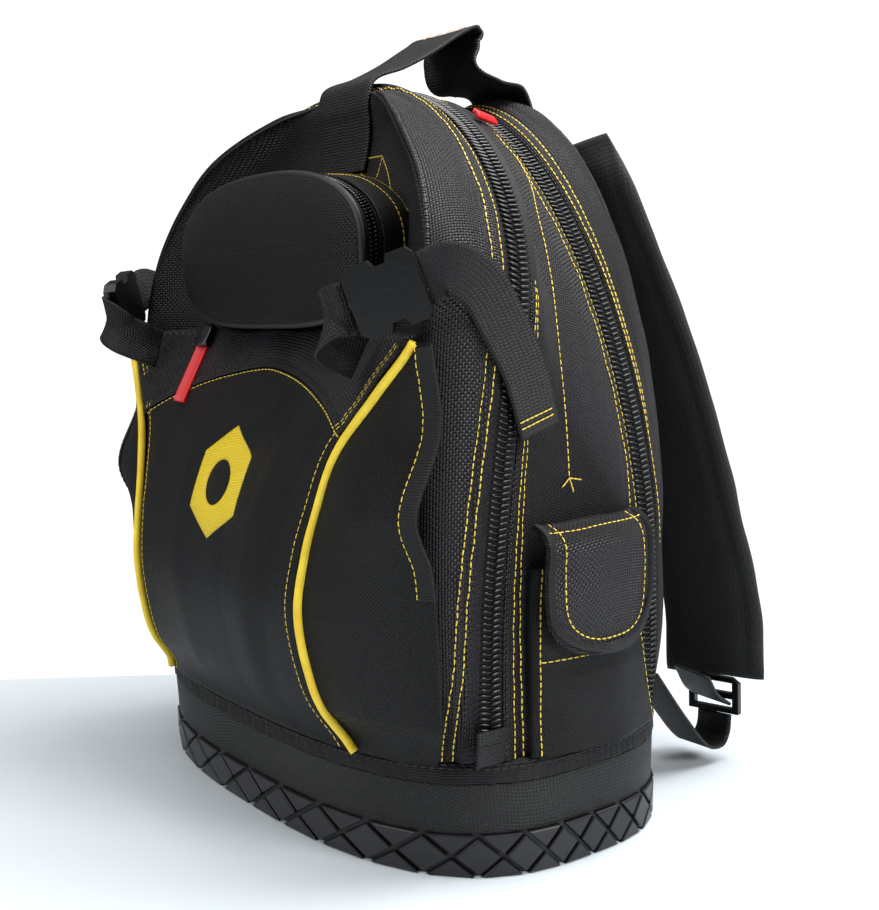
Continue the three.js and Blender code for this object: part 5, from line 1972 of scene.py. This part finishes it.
@dataclass
class CarryStraps:
    """Padded shoulder straps, their webbing, adjusters and free tails."""

    bench: Bench
    width: float = 64
    thick: float = 12
    strap_route: Rows = (
        (0.34, 0.541, 0.925), (0.37, 0.556, 0.86), (0.44, 0.65, 0.71), (0.53, 0.73, 0.54), (0.6, 0.79, 0.36),
        (0.65, 0.822, 0.23), (0.665, 0.815, 0.125),
    )
    lower_route: Rows = (
        (0.666, 0.818, 0.065), (0.67, 0.805, 0.04), (0.675, 0.77, 0.024), (0.68, 0.7, 0.03),
        (0.69, 0.59, 0.085), (0.69, 0.465, 0.165),
    )
    tail_route: Rows = ((0.672, 0.799, 0.09), (0.7, 0.72, 0.115), (0.72, 0.66, 0.15))

    def build(self) -> None:
        """Builds both straps."""
        for side in Side:
            self.padding(side)
            self.webbing(side)
            self.adjuster(side)

    def padding(self, side: Side) -> None:
        """Padded strap, with a shallow dip a little in from each long edge."""
        form = self.bench.form
        steps, bound_edge = 100, 9
        route = even_route(form.route(self.strap_route, side), steps)
        wide = Vector((1, 0.25 * side.value, 0))

        def place(u: float, v: float) -> Vector:
            """Point of the strap's skin: a flat pad with full, round edges."""
            k = min(round(v * steps), len(route) - 1)
            along = heading(route, k)
            across = (wide - along * wide.dot(along)).normalized()
            face = across.cross(along)
            angle = 2 * math.pi * u
            c, s = math.cos(angle), math.sin(angle)
            narrow = 1 - 0.3 * (1 - min(1.0, v / 0.16)) ** 2
            x = math.copysign(abs(c) ** 0.55, c) * self.width / 2 * narrow
            z = math.copysign(abs(s) ** 0.8, s) * self.thick / 2
            z *= 1 - 0.16 * bell(abs(x) - (self.width / 2 - bound_edge), 2.5)
            end = min(1.0, 12 * min(v, 1 - v) + 0.35)
            return route[k] + across * x + face * (z * end)

        cloth = Cloth("shoulder_strap_pad_" + side.label, place, 48, steps, route[steps // 2], True)
        cloth.cap_ends()
        cloth.relief(lambda s: 0.9 * ripple(s.point, 26, 4))
        piece = cloth.finished(MESH, "mesh", ["shoulder_strap_" + side.label])

    def webbing(self, side: Side) -> None:
        """Lower webbing to the bag's corner and the strap's free tail."""
        form = self.bench.form
        for name, rows, node in (
            ("strap_lower_webbing_", self.lower_route, "strap_webbing_"),
            ("strap_free_tail_", self.tail_route, "strap_tail_"),
        ):
            band = Band(
                name + side.label, form.route(rows, side), lambda v: Vector((1, 0, 0)), STRAP_WIDTH,
                Vector((0, 100, 60)), 60, 8).cloth()
            band.finished(WEBBING, "webbing", [node + side.label], WEBBING_WALL)

    def adjuster(self, side: Side) -> None:
        """Ladder adjuster: keeps its solid, with moulded acetal on it."""
        dress_node("ladder_lock_" + side.label, ACETAL)


@dataclass
class CompressionStraps:
    """Webbing that crosses the front shell to a side-release buckle."""

    bench: Bench
    route_rows: Rows = (
        (0.963, -0.12, 0.545), (0.968, -0.17, 0.62), (0.968, -0.24, 0.68), (0.966, -0.3, 0.722),
        (0.95, -0.375, 0.74), (0.918, -0.43, 0.73),
    )
    anchor_rows: Rows = (
        (0.7773, -0.5628, 0.7005), (0.745, -0.5935, 0.6937), (0.69, -0.58, 0.672), (0.66, -0.52, 0.655),
        (0.66, -0.463, 0.643),
    )

    def build(self) -> None:
        """Builds both straps."""
        form = self.bench.form
        inside = Vector((0, -60, 250))
        flat = Vector((0, 0.85, 0.5))
        for side in Side:
            turned = Vector((0.2 * side.value, 0.1, 1))
            band = Band(
                "compression_webbing_" + side.label, form.route(self.route_rows, side),
                lambda v: flat.lerp(turned, min(1.0, 1.2 * v)), STRAP_WIDTH, inside, 90, 10).cloth()
            for v in (0.045, 0.075):
                self.bench.yellow.line(band.line((0.06, v), (0.94, v), 20), 3.0)
            band.finished(WEBBING, "webbing", ["compression_strap_" + side.label], WEBBING_WALL)
            stub = Band(
                "buckle_webbing_" + side.label, form.route(self.anchor_rows, side),
                lambda v: turned, STRAP_WIDTH, inside, 40, 8).cloth()
            stub.finished(WEBBING, "webbing", ["buckle_anchor_" + side.label], WEBBING_WALL)
            dress_node("buckle_" + side.label, ACETAL)


@dataclass
class ZipPulls:
    """Red moulded pulls on their dark sliders, at places of the photograph."""

    bench: Bench
    front_pull: Rows = ((206, 336), (192, 368), (178, 400))
    front_middle: tuple[float, float] = (190, 370)
    crest_pull: Rows = ((471, 119), (490, 127))
    rear_pull: Rows = ((515, 151), (523, 160))

    def build(self) -> None:
        """Builds the pulls that the photograph shows."""
        cloths, camera = self.bench.cloths, self.bench.camera
        surfaces = [
            cloths[name].tree() for name in ("pocket_yoke_cloth", "pocket_panel_cloth", "front_face")
        ]
        found = camera.trace(self.front_pull, *surfaces)
        if found:
            toward = -camera.ray(*self.front_middle)
            top, tip = found[0][0] + toward * 5, found[-1][0] + toward * 7
            self.hang("front_zip_pull", top, tip, Vector((0.8, 0.5, 0.1)), 8)
            self.slider("front_zip_slider", top + toward * 2, tip - top)
        upper = [cloths[name].tree() for name in ("middle_side", "rear_side", "front_side")]
        for name, pixels, width in (
            ("crest_zip_pull", self.crest_pull, 4.5), ("rear_zip_pull", self.rear_pull, 3.5),
        ):
            found = camera.trace(pixels, *upper)
            if found:
                lift = found[0][1] * 2.5
                self.hang(name, found[0][0] + lift, found[-1][0] + lift, Vector((0.1, 0.6, -0.6)), width)

    @staticmethod
    def hang(name: str, top: Vector, tip: Vector, across: Vector, width: float) -> None:
        """A pull from its slider to its tip, slightly crowned."""
        points, inside = [top, top.lerp(tip, 0.5), tip], top + Vector((0, 60, 0))
        band = Band(name, points, lambda v: across, width, inside, 12, 4, 0.6).cloth()
        piece = finish_piece(name, band.mesh, RED, wall=2.6)
        bevel = piece.modifiers.new("edges", "BEVEL")
        bevel.width = 0.7 * MM
        bevel.segments = 2

    @staticmethod
    def slider(name: str, centre: Vector, along: Vector) -> None:
        """Slider body, a waisted block with rounded edges."""
        width, length, height = 11, 14, 5
        body = bmesh.new()
        bmesh.ops.create_cube(body, size=1.0)
        bmesh.ops.bevel(
            body, geom=body.edges[:], offset=0.12, segments=2, profile=0.5, affect="EDGES", material=-1)
        turn = along.to_track_quat("Y", "Z").to_matrix().to_4x4()
        for vert in body.verts:
            waist = 0.75 + 0.5 * abs(vert.co.y)
            sized = Vector((vert.co.x * width * waist, vert.co.y * length, vert.co.z * height))
            vert.co = turn @ sized + centre
        finish_piece(name, body, STEEL)


def dress_node(node: str, finish: Finish) -> None:
    """Gives a solid that keeps its shape its finish."""
    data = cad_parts[node].data
    data.materials.clear()
    data.materials.append(finish.material())


@dataclass
class Studio:
    """Plain pale floor, a board that ends behind the bag, and soft light."""

    turn: float = 53.0
    rear_edge: float = 0.205
    front_edge: float = 1.6
    half_width: float = 3.0
    ambient: float = 0.12

    def build(self) -> None:
        """Builds the floor, the lamps and the sky."""
        floor = bmesh.new()
        bmesh.ops.create_grid(floor, x_segments=1, y_segments=1, size=1.0)
        turn = math.radians(self.turn)
        away = Vector((-math.sin(turn), math.cos(turn), 0))
        level = Vector((math.cos(turn), math.sin(turn), 0))
        for vert in floor.verts:
            depth = self.rear_edge if vert.co.y > 0 else -self.front_edge
            vert.co = level * (vert.co.x * self.half_width) + away * depth
        data = bpy.data.meshes.new("studio_floor")
        floor.to_mesh(data)
        floor.free()
        piece = bpy.data.objects.new("studio_floor", data)
        bpy.context.scene.collection.objects.link(piece)
        data.materials.append(BOARD.material())
        # name, place and aim in metres, size in metres, power in watts
        for lamp in (
            ("top_softbox", (0.35, 0.55, 1.35), (0.0, 0.0, 0.28), 1.0, 30),
            ("right_softbox", (1.5, 0.35, 0.85), (0.1, 0.0, 0.24), 0.5, 15),
            ("front_softbox", (-0.3, -1.7, 1.1), (0.0, -0.05, 0.12), 1.0, 13),
            ("floor_softbox", (-0.2, -0.4, 1.9), (0.0, 0.0, 0.0), 1.6, 21),
        ):
            self.lamp(*lamp)
        world = bpy.data.worlds.new("studio_sky")
        bpy.context.scene.world = world
        world.use_nodes = True
        world.node_tree.nodes.clear()
        rays = add_node(world.node_tree, "ShaderNodeLightPath")
        glow = calculate(world.node_tree, "MULTIPLY_ADD", rays.outputs["Is Camera Ray"], 1.0, self.ambient)
        sky = add_node(world.node_tree, "ShaderNodeBackground", {"Color": (1, 1, 1, 1), "Strength": glow})
        add_node(world.node_tree, "ShaderNodeOutputWorld", {"Surface": sky.outputs[0]})
        bpy.context.scene.view_settings.view_transform = "Standard"

    @staticmethod
    def lamp(name: str, place: tuple, aim: tuple, size: float, power: float) -> None:
        """A square soft lamp that faces its aim."""
        data = bpy.data.lights.new(name, "AREA")
        data.size = size
        data.energy = power
        lamp = bpy.data.objects.new(name, data)
        lamp.location = place
        lamp.rotation_euler = (Vector(aim) - Vector(place)).to_track_quat("-Z", "Y").to_euler()
        bpy.context.scene.collection.objects.link(lamp)


def main() -> None:
    """Builds the dressed bag in order."""
    logging.basicConfig(level=logging.INFO, format="%(message)s")
    bench = Bench()
    bench.camera.make()
    makers = [
        BaseTray(bench), BodyShells(bench), FrontPocket(bench), SmallCase(bench), SidePouches(bench),
        CarryHandle(bench), CarryStraps(bench), CompressionStraps(bench), ZipPulls(bench), Studio(),
    ]
    for maker in makers:
        maker.build()
    for thread in (bench.yellow, bench.gold, bench.black):
        LOG.info("%s: %d stitches", thread.name, thread.count)
        thread.finished()


if __name__ == "__main__":
    main()
